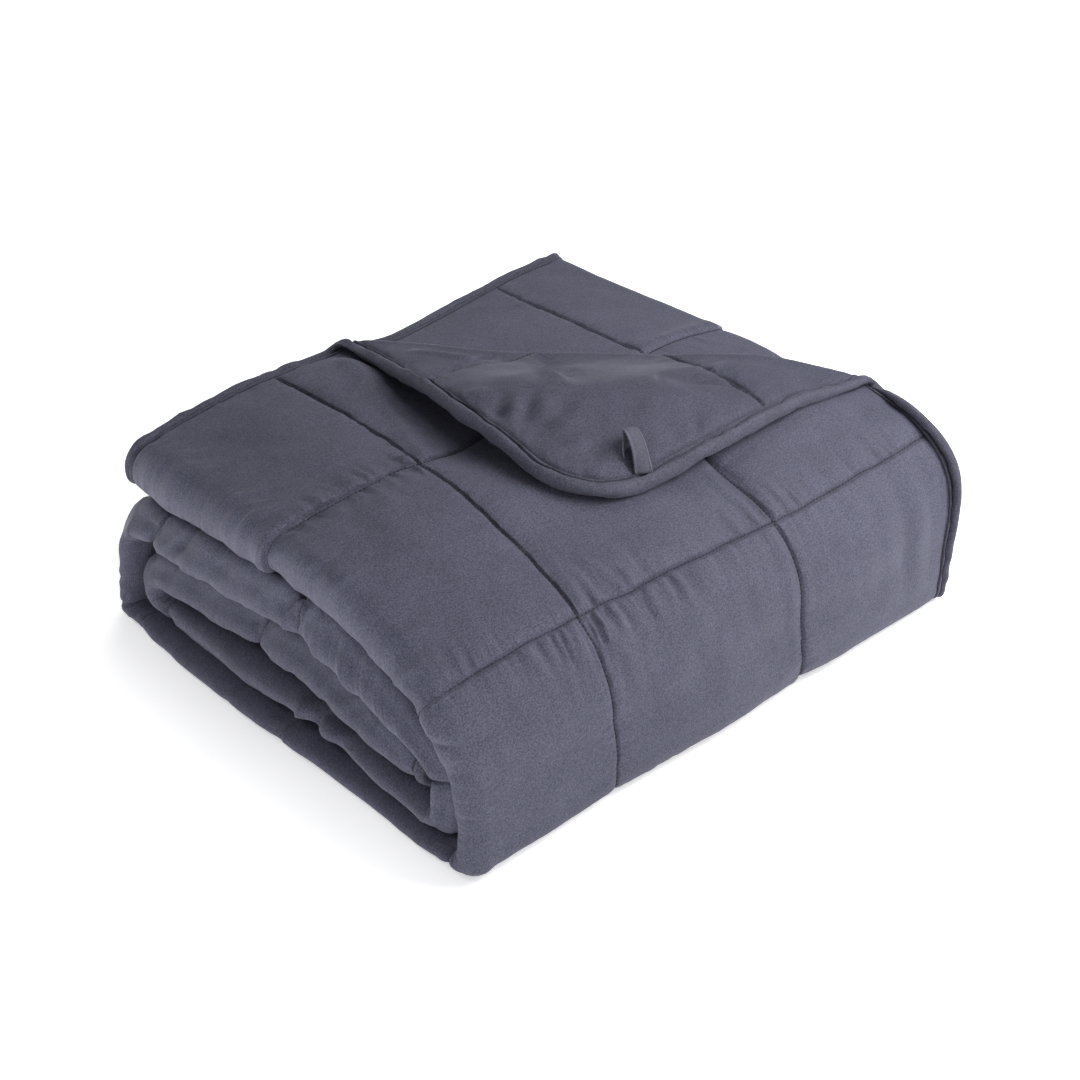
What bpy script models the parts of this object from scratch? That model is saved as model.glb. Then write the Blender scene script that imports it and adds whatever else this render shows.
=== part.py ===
"""Weighted blanket, folded in three across its width and wound five levels high, with one corner turned back.

Metres, +Z up. X runs along the stack's longer side (across the cloth's folded width), Y along its depth, and the
stack stands on z = 0 with its origin at the middle of its footprint.

Every point of the cloth is named by two cloth coordinates: u, the way across the blanket from the free edge of the
outer ply, and s, the way along it from its outer end. The fold across the width is a profile of lines and arcs read at
u, and the winding is a path of lines and arcs read at s. Gentle warps then let the stack settle, lean and droop.
"""

import math

import bpy
import numpy as np
from mathutils import Vector
from mathutils.geometry import delaunay_2d_cdt

# ---- cloth -----------------------------------------------------------------------------------------------------------
SQUARE = 0.1524  # one quilted square
ACROSS = 8  # squares across the blanket
ALONG = 12  # squares along it
CORNER_R = 0.045  # radius of the blanket's own four corners
THICK = 0.0080  # filled ply, middle of a square
SEAM_THICK = 0.0048  # filled ply at a sewn line
SWELL = 0.022  # distance from a seam over which the filling swells to full
BIND_W = 0.0085  # binding, in the cloth's plane
BIND_T = 0.0052  # binding, through the cloth
GAP = 0.0005  # between the quilted body and the binding

# ---- stack -----------------------------------------------------------------------------------------------------------
PLY = 0.0092  # from one ply to the next within a level
LEVEL = 0.0284  # from one level to the next
HALF = PLY + THICK / 2  # half the thickness of a level of three plies
EDGE_X = 0.2050  # free edge of the outer ply, right-hand end
NOSE_X = -0.2070  # outermost point of the left-hand folds
INNER_X = 0.1850  # outermost point of the right-hand fold, under the outer ply
START_Y = 0.1770  # outer end of the cloth, on top
FRONT_Y = -0.1446  # middle of the front wall
BACK_Y = 0.1526  # middle of the back wall
FRONT_R = 0.0428  # top turn of the front wall, at the middle ply
LOW_R = 0.0180  # its bottom turn
TIGHT_R = 0.0144  # turns next to nothing, at the middle ply

# ---- turned-back corner ----------------------------------------------------------------------------------------------
CREASE_U = 0.268  # where the crease meets the outer end, from the corner
CREASE_S = 0.268  # where the crease meets the free edge, from the corner
ROLL_R = 0.0056  # radius of the turn, at the middle of the ply
SECOND_S = 0.2990  # the second sewn line, at the middle ply of the front turn, where the outer ply has gone further
SLIP = 0.010  # how far the under plies reach past the outer ply at the outer end
ROUND_IN = 0.009  # how far the left fold draws back there

# ---- loop of tape at the turned-back corner --------------------------------------------------------------------------
LOOP_S = 0.051  # along the free edge from the corner
LOOP_IN = 0.0150  # in from the free edge
LOOP_H = 0.0240
LOOP_W = 0.0120
LOOP_T = 0.0012
LOOP_OPEN = 0.0072


def turtle(rows, x, y, heading):
    """Rows of (name, radius, amount): a radius of 0 is a run of that length, any other an arc of that many degrees.
    Returns the rows with their start place, heading and length."""
    out, at = [], 0.0
    for name, radius, amount in rows:
        length = amount if radius == 0 else radius * math.radians(amount)
        out.append((name, at, length, radius, x, y, heading))
        if radius == 0:
            x += length * math.cos(heading)
            y += length * math.sin(heading)
        else:
            turn = math.radians(amount)
            cx, cy = x - radius * math.sin(heading), y + radius * math.cos(heading)
            heading += turn
            x, y = cx + radius * math.sin(heading), cy - radius * math.cos(heading)
        at += length
    return out, at


def along(rows, t):
    """Place and outward normal at distance t along the rows. Before the first row it runs straight on."""
    t = np.asarray(t, float)
    px, py, nx, ny = (np.zeros_like(t) for _ in range(4))
    for k, (_, at, length, radius, x, y, h) in enumerate(rows):
        lo = -np.inf if k == 0 else at
        hi = np.inf if k == len(rows) - 1 else at + length
        m = (t >= lo) & (t < hi)
        d = t[m] - at
        if radius == 0:
            a = np.full_like(d, h)
            px[m] = x + d * math.cos(h)
            py[m] = y + d * math.sin(h)
        else:
            a = h + d / radius
            px[m] = x - radius * math.sin(h) + radius * np.sin(a)
            py[m] = y + radius * math.cos(h) - radius * np.cos(a)
        nx[m], ny[m] = np.sin(a), -np.cos(a)
    return px, py, nx, ny


# The fold across the width, read in (x, offset from the middle ply)
PROFILE, WIDTH = turtle(
    [
        # name, radius, run or degrees
        ("outer ply", 0, EDGE_X - (NOSE_X + PLY)),
        ("left fold", PLY, 180),
        ("lower ply", 0, (INNER_X - PLY / 2) - (NOSE_X + PLY)),
        ("right fold", PLY / 2, 180),
        ("middle ply", 0, (INNER_X - PLY / 2) - (NOSE_X + 0.021)),
    ],
    EDGE_X,
    PLY,
    math.pi,
)
TOP_Z = HALF + 4 * LEVEL
NOSE_R = LEVEL / 2
NOSE_Y = BACK_Y - 2 * HALF - 0.002 - NOSE_R  # middle of the innermost turn
# The winding, read in (y, z) at the middle ply
PATH, LENGTH = turtle(
    [
        # name, radius, run or degrees
        ("top", 0, START_Y - (FRONT_Y + FRONT_R)),
        ("front top turn", FRONT_R, 90),
        ("front wall", 0, 4 * LEVEL - FRONT_R - LOW_R),
        ("front low turn", LOW_R, 90),
        ("bottom", 0, BACK_Y - TIGHT_R - (FRONT_Y + LOW_R)),
        ("back low turn", TIGHT_R, 90),
        ("back wall", 0, 3 * LEVEL - 2 * TIGHT_R),
        ("back top turn", TIGHT_R, 90),
        ("second level", 0, BACK_Y - TIGHT_R - (FRONT_Y + FRONT_R)),
        ("inner top turn", FRONT_R - LEVEL, 90),
        ("inner wall", 0, 2 * (LEVEL - (FRONT_R - LEVEL))),
        ("inner low turn", FRONT_R - LEVEL, 90),
        ("fourth level", 0, NOSE_Y - (FRONT_Y + FRONT_R)),
        ("inmost turn", NOSE_R, 180),
        ("third level", 0, NOSE_Y - (FRONT_Y + LEVEL + HALF + 0.006)),
    ],
    START_Y,
    TOP_Z,
    math.pi,
)


def seam_u():
    """Sewn lines across the blanket: two whole squares from the free edge, then the folds take up a little."""
    return [SQUARE, 2 * SQUARE] + [2 * SQUARE + k * 0.1485 for k in range(1, ACROSS - 2)]


def seam_s():
    """Sewn lines along it: two squares on top, then the other ten spread over the rest of the winding."""
    rest = (LENGTH - SECOND_S) / (ALONG - 2)
    return [SQUARE, SECOND_S] + [SECOND_S + k * rest for k in range(1, ALONG - 2)]


def step(x):
    x = np.clip(x, 0.0, 1.0)
    return x * x * (3 - 2 * x)


STACK = TOP_Z + HALF


def settle(x, y, z):
    """The warps: weight presses the lower levels thin, the front rounds over, the far left corner droops."""
    q = z / STACK
    z = STACK * (0.64 * q + 0.36 * q * q)
    z = z * (1 - 0.20 * step(-y / 0.13)) * (1 - 0.010 * step((y - 0.03) / 0.15))
    z = z * (1 - 0.09 * step((-x - 0.11) / 0.11))
    z = z * (1 - 0.015 * step((0.02 - x) / 0.22) * step((y + 0.03) / 0.21))
    z = z * (1 - 0.045 * step((x - 0.11) / 0.10))
    z = z * (1 + 0.012 * np.sin(21 * x + 5) * np.cos(17 * y + 1))
    low = np.exp(-((z - 0.018) / 0.030) ** 2)
    y = y * (1 + 0.055 * low + 0.065 * np.exp(-((z / 0.010) ** 2)))
    x = x - 0.018 * step(-x / 0.2) * step((y + 0.05) / 0.2) * (1.0 - 0.75 * q)
    x = x + 0.0022 * np.sin(26 * y + 60 * z) * np.clip(x / 0.2, -1, 1)
    right = np.clip(x, 0, None)
    y = y + 0.17 * right * right / (right + 0.04) * step((y + 0.02) / 0.19)
    return x, y, z


NORM = math.hypot(1 / CREASE_U, 1 / CREASE_S)
CREASE_N = (-1 / CREASE_U / NORM, -1 / CREASE_S / NORM)  # in the cloth's plane, towards the corner


def past_crease(u, s):
    return (1 - u / CREASE_U - s / CREASE_S) / NORM


def place(u, s, w, lift=0.0):
    """World place of the cloth point (u, s), w out of the middle of its ply on the outer side."""
    u, s, w = np.broadcast_arrays(*(np.asarray(v, float) for v in (u, s, w)))
    t = past_crease(u, s)
    over = t > 0
    phi = np.clip(t / ROLL_R, 0, math.pi)
    a = ROLL_R * np.sin(phi) - np.clip(t - math.pi * ROLL_R, 0, None)
    h = ROLL_R * (1 - np.cos(phi)) + lift * step((t - math.pi * ROLL_R) / 0.05)
    a, h = a - w * np.sin(phi), h + w * np.cos(phi)
    uu = np.where(over, u - CREASE_N[0] * (t - a), u)
    ss = np.where(over, s - CREASE_N[1] * (t - a), s)
    ww = np.where(over, h, w)
    px, pn, nx, nn = along(PROFILE, uu)
    x, n = px + ww * nx, pn + ww * nn
    under = SLIP * step((uu - 0.30) / 0.45) - ROUND_IN * np.exp(-(((uu - 0.418) / 0.035) ** 2))
    py, pz, ny, nz = along(PATH, ss - under * (1 - step(ss / 0.20)))
    return np.stack(settle(x, py + n * ny, pz + n * nz), -1)


def outline(inset, us, ss):
    """The blanket's outline, inset by so much: points at the given lines, with its round corners."""
    r = CORNER_R - inset
    lo_u, hi_u, lo_s, hi_s = inset, WIDTH - inset, inset, LENGTH - inset
    us = [u for u in us if lo_u + r + 0.004 < u < hi_u - r - 0.004]
    ss = [s for s in ss if lo_s + r + 0.004 < s < hi_s - r - 0.004]
    pts = []

    def corner(cu, cs, start):
        for k in range(6):
            a = start + math.pi / 2 * k / 5
            pts.append((cu + r * math.cos(a), cs + r * math.sin(a), math.cos(a), math.sin(a)))

    corner(lo_u + r, lo_s + r, math.pi)
    pts += [(u, lo_s, 0.0, -1.0) for u in us]
    corner(hi_u - r, lo_s + r, 1.5 * math.pi)
    pts += [(hi_u, s, 1.0, 0.0) for s in ss]
    corner(hi_u - r, hi_s - r, 0.0)
    pts += [(u, hi_s, 0.0, 1.0) for u in reversed(us)]
    corner(lo_u + r, hi_s - r, 0.5 * math.pi)
    pts += [(lo_u, s, -1.0, 0.0) for s in reversed(ss)]
    return np.array(pts)


def lines(rows, total, seams, most, degrees):
    """Places of the mesh's lines: the seams, the ends of each row, arcs cut to so many degrees, runs to so long."""
    fixed = sorted([0.0, total] + [v for v in seams if 0 < v < total])
    bends = []
    for _, at, length, radius, *_ in rows:
        if radius:
            fine = 45 if radius < 0.008 else degrees if radius < 0.03 else 0.8 * degrees
            n = max(2, math.ceil(math.degrees(length / radius) / fine - 0.1))
            bends += [at + length * k / n for k in range(n + 1)]
    marks = list(fixed)
    for b in bends:
        if min(abs(b - f) for f in fixed) > 0.0035 and min(abs(b - f) for f in marks) > 0.0022:
            marks.append(b)
    marks.sort()
    out = [marks[0]]
    for a, b in zip(marks, marks[1:]):
        n = max(1, math.ceil((b - a) / most - 0.15))
        out += [a + (b - a) * k / n for k in range(1, n + 1)]
    return out


def edge_distance(u, s, inset):
    """How far a cloth point lies inside the outline."""
    r = CORNER_R - inset
    du = np.minimum(u - inset, WIDTH - inset - u)
    ds = np.minimum(s - inset, LENGTH - inset - s)
    in_corner = (du < r) & (ds < r)
    return np.where(in_corner, r - np.hypot(r - du, r - ds), np.minimum(du, ds))


def half_thickness(u, s):
    """Half the ply: drawn in at each sewn line and at the edge, swelling between them."""
    near_u = np.min([np.abs(u - v) for v in seam_u()], axis=0)
    near_s = np.min([np.abs(s - v) for v in seam_s()], axis=0)
    near = np.minimum(np.minimum(near_u, near_s), edge_distance(u, s, BIND_W))
    return (SEAM_THICK + (THICK - SEAM_THICK) * np.sqrt(step(near / SWELL))) / 2


def new_object(name, points, faces, colour, roughness, sheen):
    mesh = bpy.data.meshes.new(name)
    mesh.from_pydata([tuple(p) for p in points], [], [tuple(int(i) for i in f) for f in faces])
    mesh.validate()
    obj = bpy.data.objects.new(name, mesh)
    bpy.context.scene.collection.objects.link(obj)
    mesh.shade_smooth()
    mesh.set_sharp_from_angle(angle=math.radians(50))
    material = bpy.data.materials.new(name)
    material.use_nodes = True
    shader = material.node_tree.nodes["Principled BSDF"]
    shader.inputs["Base Color"].default_value = (*colour, 1)
    shader.inputs["Roughness"].default_value = roughness
    shader.inputs["Sheen Weight"].default_value = sheen
    shader.inputs["Metallic"].default_value = 0.0
    material.diffuse_color = (*colour, 1)
    mesh.materials.append(material)
    return obj


def make_blanket(us, ss, rim_us, rim_ss):
    """The quilted body: one triangulation of the cloth's plane, raised to its two faces and closed round its edge."""
    inset = BIND_W + GAP
    rim = outline(inset, rim_us, rim_ss)
    flat = [Vector((float(p[0]), float(p[1]))) for p in rim]
    rim_edges = [(k, (k + 1) % len(flat)) for k in range(len(flat))]
    band = math.pi * ROLL_R
    for u in us:
        for s in ss:
            if edge_distance(u, s, inset) < 0.006:
                continue
            if -0.012 < past_crease(u, s) < band + 0.008 and u < CREASE_U + 0.02 and s < CREASE_S + 0.02:
                continue
            flat.append(Vector((u, s)))
    # lines along the turn of the corner
    run = math.hypot(CREASE_U, CREASE_S)
    tu, ts = -CREASE_N[1], CREASE_N[0]
    mu, ms = CREASE_U * 0.5, CREASE_S * 0.5
    rows = [-0.006] + [band * k / 5 for k in range(6)]
    for t in rows:
        for k in range(-7, 8):
            d = k * run / 15
            u = mu + tu * d + CREASE_N[0] * t
            s = ms + ts * d + CREASE_N[1] * t
            if edge_distance(u, s, inset) > 0.0035:
                flat.append(Vector((u, s)))
    verts, _, faces, _, _, _ = delaunay_2d_cdt(flat, rim_edges, [], 1, 1e-7)
    uv = np.array([tuple(v) for v in verts])
    u, s = uv[:, 0], uv[:, 1]
    half = half_thickness(u, s)
    n = len(uv)
    points = np.concatenate([place(u, s, half), place(u, s, -half)])
    solid, edges = [], {}
    for f in faces:
        a = uv[f[1]] - uv[f[0]]
        b = uv[f[2]] - uv[f[0]]
        if a[0] * b[1] - a[1] * b[0] > 0:
            f = [f[0], f[2], f[1]]
        solid.append(tuple(f))
        solid.append((f[0] + n, f[2] + n, f[1] + n))
        for k in range(3):
            e = (f[k], f[(k + 1) % 3])
            edges[e] = edges.get(e, 0) + 1
    for a, b in edges:
        if (b, a) not in edges:
            solid.append((b, a, a + n))
            solid.append((b, a + n, b + n))
    return points, solid


def make_binding(us, ss):
    """One band round the whole outline, rounded on its outer side."""
    rim = outline(BIND_W / 2, us, ss)
    # (out of the cloth's edge, through the cloth), as parts of half the width and half the thickness
    section = [(-1.0, -0.80), (0.60, -1.0), (1.0, 0.0), (0.60, 1.0), (-1.0, 0.80)]
    rings = []
    for a, b in section:
        o = a * BIND_W / 2
        rings.append(place(rim[:, 0] + rim[:, 2] * o, rim[:, 1] + rim[:, 3] * o, np.full(len(rim), b * BIND_T / 2)))
    points = np.stack(rings, 1).reshape(-1, 3)
    m, n = len(section), len(rim)
    faces = []
    for k in range(n):
        j = (k + 1) % n
        for i in range(m):
            h = (i + 1) % m
            faces.append((k * m + i, j * m + i, j * m + h, k * m + h))
    return points, faces


def loop_frame():
    """Foot of the tape loop on the turned-back corner, and the directions it stands in."""
    u, s = LOOP_IN, LOOP_S
    foot = place(u, s, -THICK / 2)
    low = place(u, s, THICK / 2)
    up = (foot - low) / np.linalg.norm(foot - low)
    wide = place(u, s + 0.004, -THICK / 2) - foot
    wide = wide - up * (wide @ up)
    wide /= np.linalg.norm(wide)
    deep = np.cross(up, wide)
    return foot, wide, deep, up


def make_loop():
    """A length of tape doubled over and stood on its two ends."""
    foot, wide, deep, up = loop_frame()
    r = LOOP_OPEN / 2
    line = []  # (across the opening, height) along the middle of the tape
    for k in range(4):
        line.append((-(r + LOOP_T / 2) * (0.92 + 0.08 * k / 3), 0.0009 + (LOOP_H - r - 0.0015) * k / 3))
    for k in range(1, 6):
        a = math.pi - math.pi * k / 6
        line.append(((r + LOOP_T / 2) * math.cos(a), LOOP_H - r - 0.0006 + (r + LOOP_T / 2) * math.sin(a)))
    for k in range(4):
        line.append(((r + LOOP_T / 2) * (1.0 - 0.08 * k / 3), 0.0009 + (LOOP_H - r - 0.0015) * (3 - k) / 3))
    line = np.array(line)
    tang = np.gradient(line, axis=0)
    tang /= np.linalg.norm(tang, axis=1)[:, None]
    norm = np.stack([-tang[:, 1], tang[:, 0]], 1)
    points, faces = [], []
    for p, nrm in zip(line, norm):
        for side, out in ((-1, -1), (1, -1), (1, 1), (-1, 1)):
            a, b = p + nrm * out * LOOP_T / 2
            b = max(b, 0.0006)
            points.append(foot + deep * a + up * b + wide * side * LOOP_W / 2)
    n = len(line)
    for k in range(n - 1):
        for i in range(4):
            j = (i + 1) % 4
            faces.append((k * 4 + i, k * 4 + j, (k + 1) * 4 + j, (k + 1) * 4 + i))
    faces.append((0, 3, 2, 1))
    last = (n - 1) * 4
    faces.append((last, last + 1, last + 2, last + 3))
    return np.array(points), faces


def with_turn(marks, turn):
    """The lines along an edge, with those of the turned-back corner in place of any that lie among them."""
    lo, hi = min(turn) - 0.004, max(turn) + 0.004
    return sorted([m for m in marks if not lo < m < hi] + turn)


def outward(points, faces):
    """The faces turned to point out of the closed body."""
    volume = 0.0
    for f in faces:
        for k in range(1, len(f) - 1):
            volume += np.dot(points[f[0]], np.cross(points[f[k]], points[f[k + 1]]))
    return faces if volume > 0 else [tuple(reversed(f)) for f in faces]


def main():
    for obj in list(bpy.data.objects):
        bpy.data.objects.remove(obj, do_unlink=True)
    us = lines(PROFILE, WIDTH, seam_u(), 0.055, 37)
    ss = lines(PATH, LENGTH, seam_s(), 0.066, 31)
    # two more in the middle row of squares that the bundle rests on, so that they are flat between their sewn lines
    ss = sorted(ss + [seam_s()[3] + SWELL + 0.002, seam_s()[4] - SWELL - 0.002])
    # the edges turn back with the corner, so their lines lie closer there
    turn = [-0.008] + [math.pi * ROLL_R * k / 5 for k in range(6)] + [math.pi * ROLL_R + 0.010]
    rim_us = with_turn(us, [CREASE_U * (1 - BIND_W / CREASE_S - t * NORM) for t in turn])
    rim_ss = with_turn(ss, [CREASE_S * (1 - BIND_W / CREASE_U - t * NORM) for t in turn])
    blanket = make_blanket(us, ss, rim_us, rim_ss)
    binding = make_binding(rim_us, rim_ss)
    tape = make_loop()
    low = min(blanket[0][:, 2].min(), binding[0][:, 2].min())
    both = np.concatenate([blanket[0], binding[0], tape[0]])
    middle = (both.min(0) + both.max(0)) / 2
    shift = np.array([middle[0], middle[1], low])
    slate = (0.090, 0.091, 0.118)
    new_object("blanket", blanket[0] - shift, outward(*blanket), slate, 0.95, 0.35)
    new_object("binding", binding[0] - shift, outward(*binding), (0.070, 0.071, 0.094), 0.9, 0.2)
    new_object("corner_loop", tape[0] - shift, outward(*tape), (0.072, 0.073, 0.095), 0.9, 0.1)


main()
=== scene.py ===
"""Looks of the folded, quilted weighted blanket: its filled squares with their sewn lines, bound edge, stitches and tape
loop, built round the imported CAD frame.

The cloth keeps the CAD's own coordinates: u across the blanket from the free edge of the outer ply, s along it from its
outer end, and w out of the middle of the ply. The fold, the winding and the gentle warps are those of the CAD, at a
finer resolution, with the crown of each square, its puckers and its creases added on the two faces.
"""

import math

import bpy
import numpy as np
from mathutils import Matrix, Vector
from mathutils.geometry import delaunay_2d_cdt


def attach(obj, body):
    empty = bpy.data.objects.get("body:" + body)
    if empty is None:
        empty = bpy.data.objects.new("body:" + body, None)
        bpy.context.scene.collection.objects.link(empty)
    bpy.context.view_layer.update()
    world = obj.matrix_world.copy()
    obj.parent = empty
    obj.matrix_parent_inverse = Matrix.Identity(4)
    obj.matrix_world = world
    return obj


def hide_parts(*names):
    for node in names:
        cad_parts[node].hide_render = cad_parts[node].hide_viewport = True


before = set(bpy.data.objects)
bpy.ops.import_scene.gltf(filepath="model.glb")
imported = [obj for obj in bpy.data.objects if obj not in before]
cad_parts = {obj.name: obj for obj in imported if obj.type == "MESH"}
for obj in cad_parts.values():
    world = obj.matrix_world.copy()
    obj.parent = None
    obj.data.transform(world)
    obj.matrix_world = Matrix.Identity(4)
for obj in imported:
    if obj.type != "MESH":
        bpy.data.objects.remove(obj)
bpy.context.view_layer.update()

# ---- the cloth and its folds, as in the CAD --------------------------------------------------------------------------
SQUARE = 0.1524
CORNER_R = 0.045
THICK = 0.0080
BIND_W = 0.0085
BIND_T = 0.0052
PLY = 0.0092
LEVEL = 0.0284
HALF = PLY + THICK / 2
EDGE_X = 0.2050
NOSE_X = -0.2070
INNER_X = 0.1850
START_Y = 0.1770
FRONT_Y = -0.1446
BACK_Y = 0.1526
FRONT_R = 0.0428
LOW_R = 0.0180
TIGHT_R = 0.0144
CREASE_U = 0.268
CREASE_S = 0.268
ROLL_R = 0.0056
SECOND_S = 0.2990
SLIP = 0.010
ROUND_IN = 0.009
SHIFT = np.array([-0.00923235, 0.02271923, 0.0])  # from the fold's own axes to the record's


def turtle(rows, x, y, heading):
    """Rows of (name, radius, amount): a radius of 0 is a run of that length, any other an arc of that many degrees."""
    out, at = [], 0.0
    for name, radius, amount in rows:
        length = amount if radius == 0 else radius * math.radians(amount)
        out.append((name, at, length, radius, x, y, heading))
        if radius == 0:
            x += length * math.cos(heading)
            y += length * math.sin(heading)
        else:
            turn = math.radians(amount)
            cx, cy = x - radius * math.sin(heading), y + radius * math.cos(heading)
            heading += turn
            x, y = cx + radius * math.sin(heading), cy - radius * math.cos(heading)
        at += length
    return out, at


def along(rows, t):
    """Place and outward normal at distance t along the rows."""
    t = np.asarray(t, float)
    px, py, nx, ny = (np.zeros_like(t) for _ in range(4))
    for k, (_, at, length, radius, x, y, h) in enumerate(rows):
        lo = -np.inf if k == 0 else at
        hi = np.inf if k == len(rows) - 1 else at + length
        m = (t >= lo) & (t < hi)
        d = t[m] - at
        if radius == 0:
            a = np.full_like(d, h)
            px[m] = x + d * math.cos(h)
            py[m] = y + d * math.sin(h)
        else:
            a = h + d / radius
            px[m] = x - radius * math.sin(h) + radius * np.sin(a)
            py[m] = y + radius * math.cos(h) - radius * np.cos(a)
        nx[m], ny[m] = np.sin(a), -np.cos(a)
    return px, py, nx, ny


PROFILE, WIDTH = turtle(
    [
        ("outer ply", 0, EDGE_X - (NOSE_X + PLY)),
        ("left fold", PLY, 180),
        ("lower ply", 0, (INNER_X - PLY / 2) - (NOSE_X + PLY)),
        ("right fold", PLY / 2, 180),
        ("middle ply", 0, (INNER_X - PLY / 2) - (NOSE_X + 0.021)),
    ],
    EDGE_X,
    PLY,
    math.pi,
)
TOP_Z = HALF + 4 * LEVEL
NOSE_R = LEVEL / 2
NOSE_Y = BACK_Y - 2 * HALF - 0.002 - NOSE_R
PATH, LENGTH = turtle(
    [
        ("top", 0, START_Y - (FRONT_Y + FRONT_R)),
        ("front top turn", FRONT_R, 90),
        ("front wall", 0, 4 * LEVEL - FRONT_R - LOW_R),
        ("front low turn", LOW_R, 90),
        ("bottom", 0, BACK_Y - TIGHT_R - (FRONT_Y + LOW_R)),
        ("back low turn", TIGHT_R, 90),
        ("back wall", 0, 3 * LEVEL - 2 * TIGHT_R),
        ("back top turn", TIGHT_R, 90),
        ("second level", 0, BACK_Y - TIGHT_R - (FRONT_Y + FRONT_R)),
        ("inner top turn", FRONT_R - LEVEL, 90),
        ("inner wall", 0, 2 * (LEVEL - (FRONT_R - LEVEL))),
        ("inner low turn", FRONT_R - LEVEL, 90),
        ("fourth level", 0, NOSE_Y - (FRONT_Y + FRONT_R)),
        ("inmost turn", NOSE_R, 180),
        ("third level", 0, NOSE_Y - (FRONT_Y + LEVEL + HALF + 0.006)),
    ],
    START_Y,
    TOP_Z,
    math.pi,
)
STACK = TOP_Z + HALF
SEAM_U = [SQUARE, 2 * SQUARE] + [2 * SQUARE + k * 0.1485 for k in range(1, 6)]
SEAM_S = [SQUARE, SECOND_S] + [SECOND_S + k * (LENGTH - SECOND_S) / 10 for k in range(1, 10)]
MARKS_U = np.array([0.0] + SEAM_U + [WIDTH])
MARKS_S = np.array([0.0] + SEAM_S + [LENGTH])


def step(x):
    x = np.clip(x, 0.0, 1.0)
    return x * x * (3 - 2 * x)


def hump(x, middle, reach):
    """1 at the middle, falling smoothly to 0 at so far from it."""
    return 1 - step(np.abs(x - middle) / reach)


def settle(x, y, z):
    """The CAD's warps."""
    q = z / STACK
    z = STACK * (0.64 * q + 0.36 * q * q)
    z = z * (1 - 0.20 * step(-y / 0.13)) * (1 - 0.010 * step((y - 0.03) / 0.15))
    z = z * (1 - 0.09 * step((-x - 0.11) / 0.11))
    z = z * (1 - 0.015 * step((0.02 - x) / 0.22) * step((y + 0.03) / 0.21))
    z = z * (1 - 0.045 * step((x - 0.11) / 0.10))
    z = z * (1 + 0.012 * np.sin(21 * x + 5) * np.cos(17 * y + 1))
    low = np.exp(-(((z - 0.018) / 0.030) ** 2))
    y = y * (1 + 0.055 * low + 0.065 * np.exp(-((z / 0.010) ** 2)))
    x = x - 0.018 * step(-x / 0.2) * step((y + 0.05) / 0.2) * (1.0 - 0.75 * q)
    x = x + 0.0022 * np.sin(26 * y + 60 * z) * np.clip(x / 0.2, -1, 1)
    right = np.clip(x, 0, None)
    y = y + 0.17 * right * right / (right + 0.04) * step((y + 0.02) / 0.19)
    return x, y, z


NORM = math.hypot(1 / CREASE_U, 1 / CREASE_S)
CREASE_N = (-1 / CREASE_U / NORM, -1 / CREASE_S / NORM)
TURNED = math.pi * ROLL_R  # cloth that the turn takes


def past_crease(u, s):
    return (1 - u / CREASE_U - s / CREASE_S) / NORM


ROLL_FLAT = 0.60  # the turned-back corner is pressed flatter than the CAD's round turn
PRESS = 0.0018  # and lies this much lower along its crease


def tighten(x, y, z):
    """The walls at the left end are drawn thin and tight by the weight that hangs on them, and the levels between
    them reach further out."""
    left = step((-0.055 - x) / 0.10) * step((0.112 - z) / 0.030) * step((z + 0.012) / 0.030)
    thin, wall, reach = 0.62, 0.0600, 0.185
    for sign, face in ((-1, FRONT_Y - HALF), (1, BACK_Y + HALF)):
        e = sign * (face - y)
        if sign > 0:
            thin, wall, reach = 0.66, 0.0300, 0.150
        end = wall * thin
        pulled = np.where(e < wall, e * thin, end + (e - wall) * (reach - end) / (reach - wall))
        pulled = np.where(e < reach, pulled, e)
        blend = hump(e, wall, 0.012) * 0.0012 * (1 if sign < 0 else 1)
        y = y - sign * left * (pulled + blend - e) * (e < reach)
    return x, y, z


DIP = [(-0.0511, 0.1050), (-0.0595, 0.0826), (-0.0645, 0.0480), (-0.0680, 0.0180), (-0.0680, -0.0180)]


def dip(x, y):
    """A hollow in the top beside and under the turned corner's left edge."""
    best = np.full(np.shape(x), 9.0)
    for (ax, ay), (bx, by) in zip(DIP[:-1], DIP[1:]):
        dx, dy = bx - ax, by - ay
        f = np.clip(((x - ax) * dx + (y - ay) * dy) / (dx * dx + dy * dy), 0, 1)
        best = np.minimum(best, np.hypot(x - ax - f * dx, y - ay - f * dy))
    return 0.0062 * np.exp(-((best / 0.024) ** 2))


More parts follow.
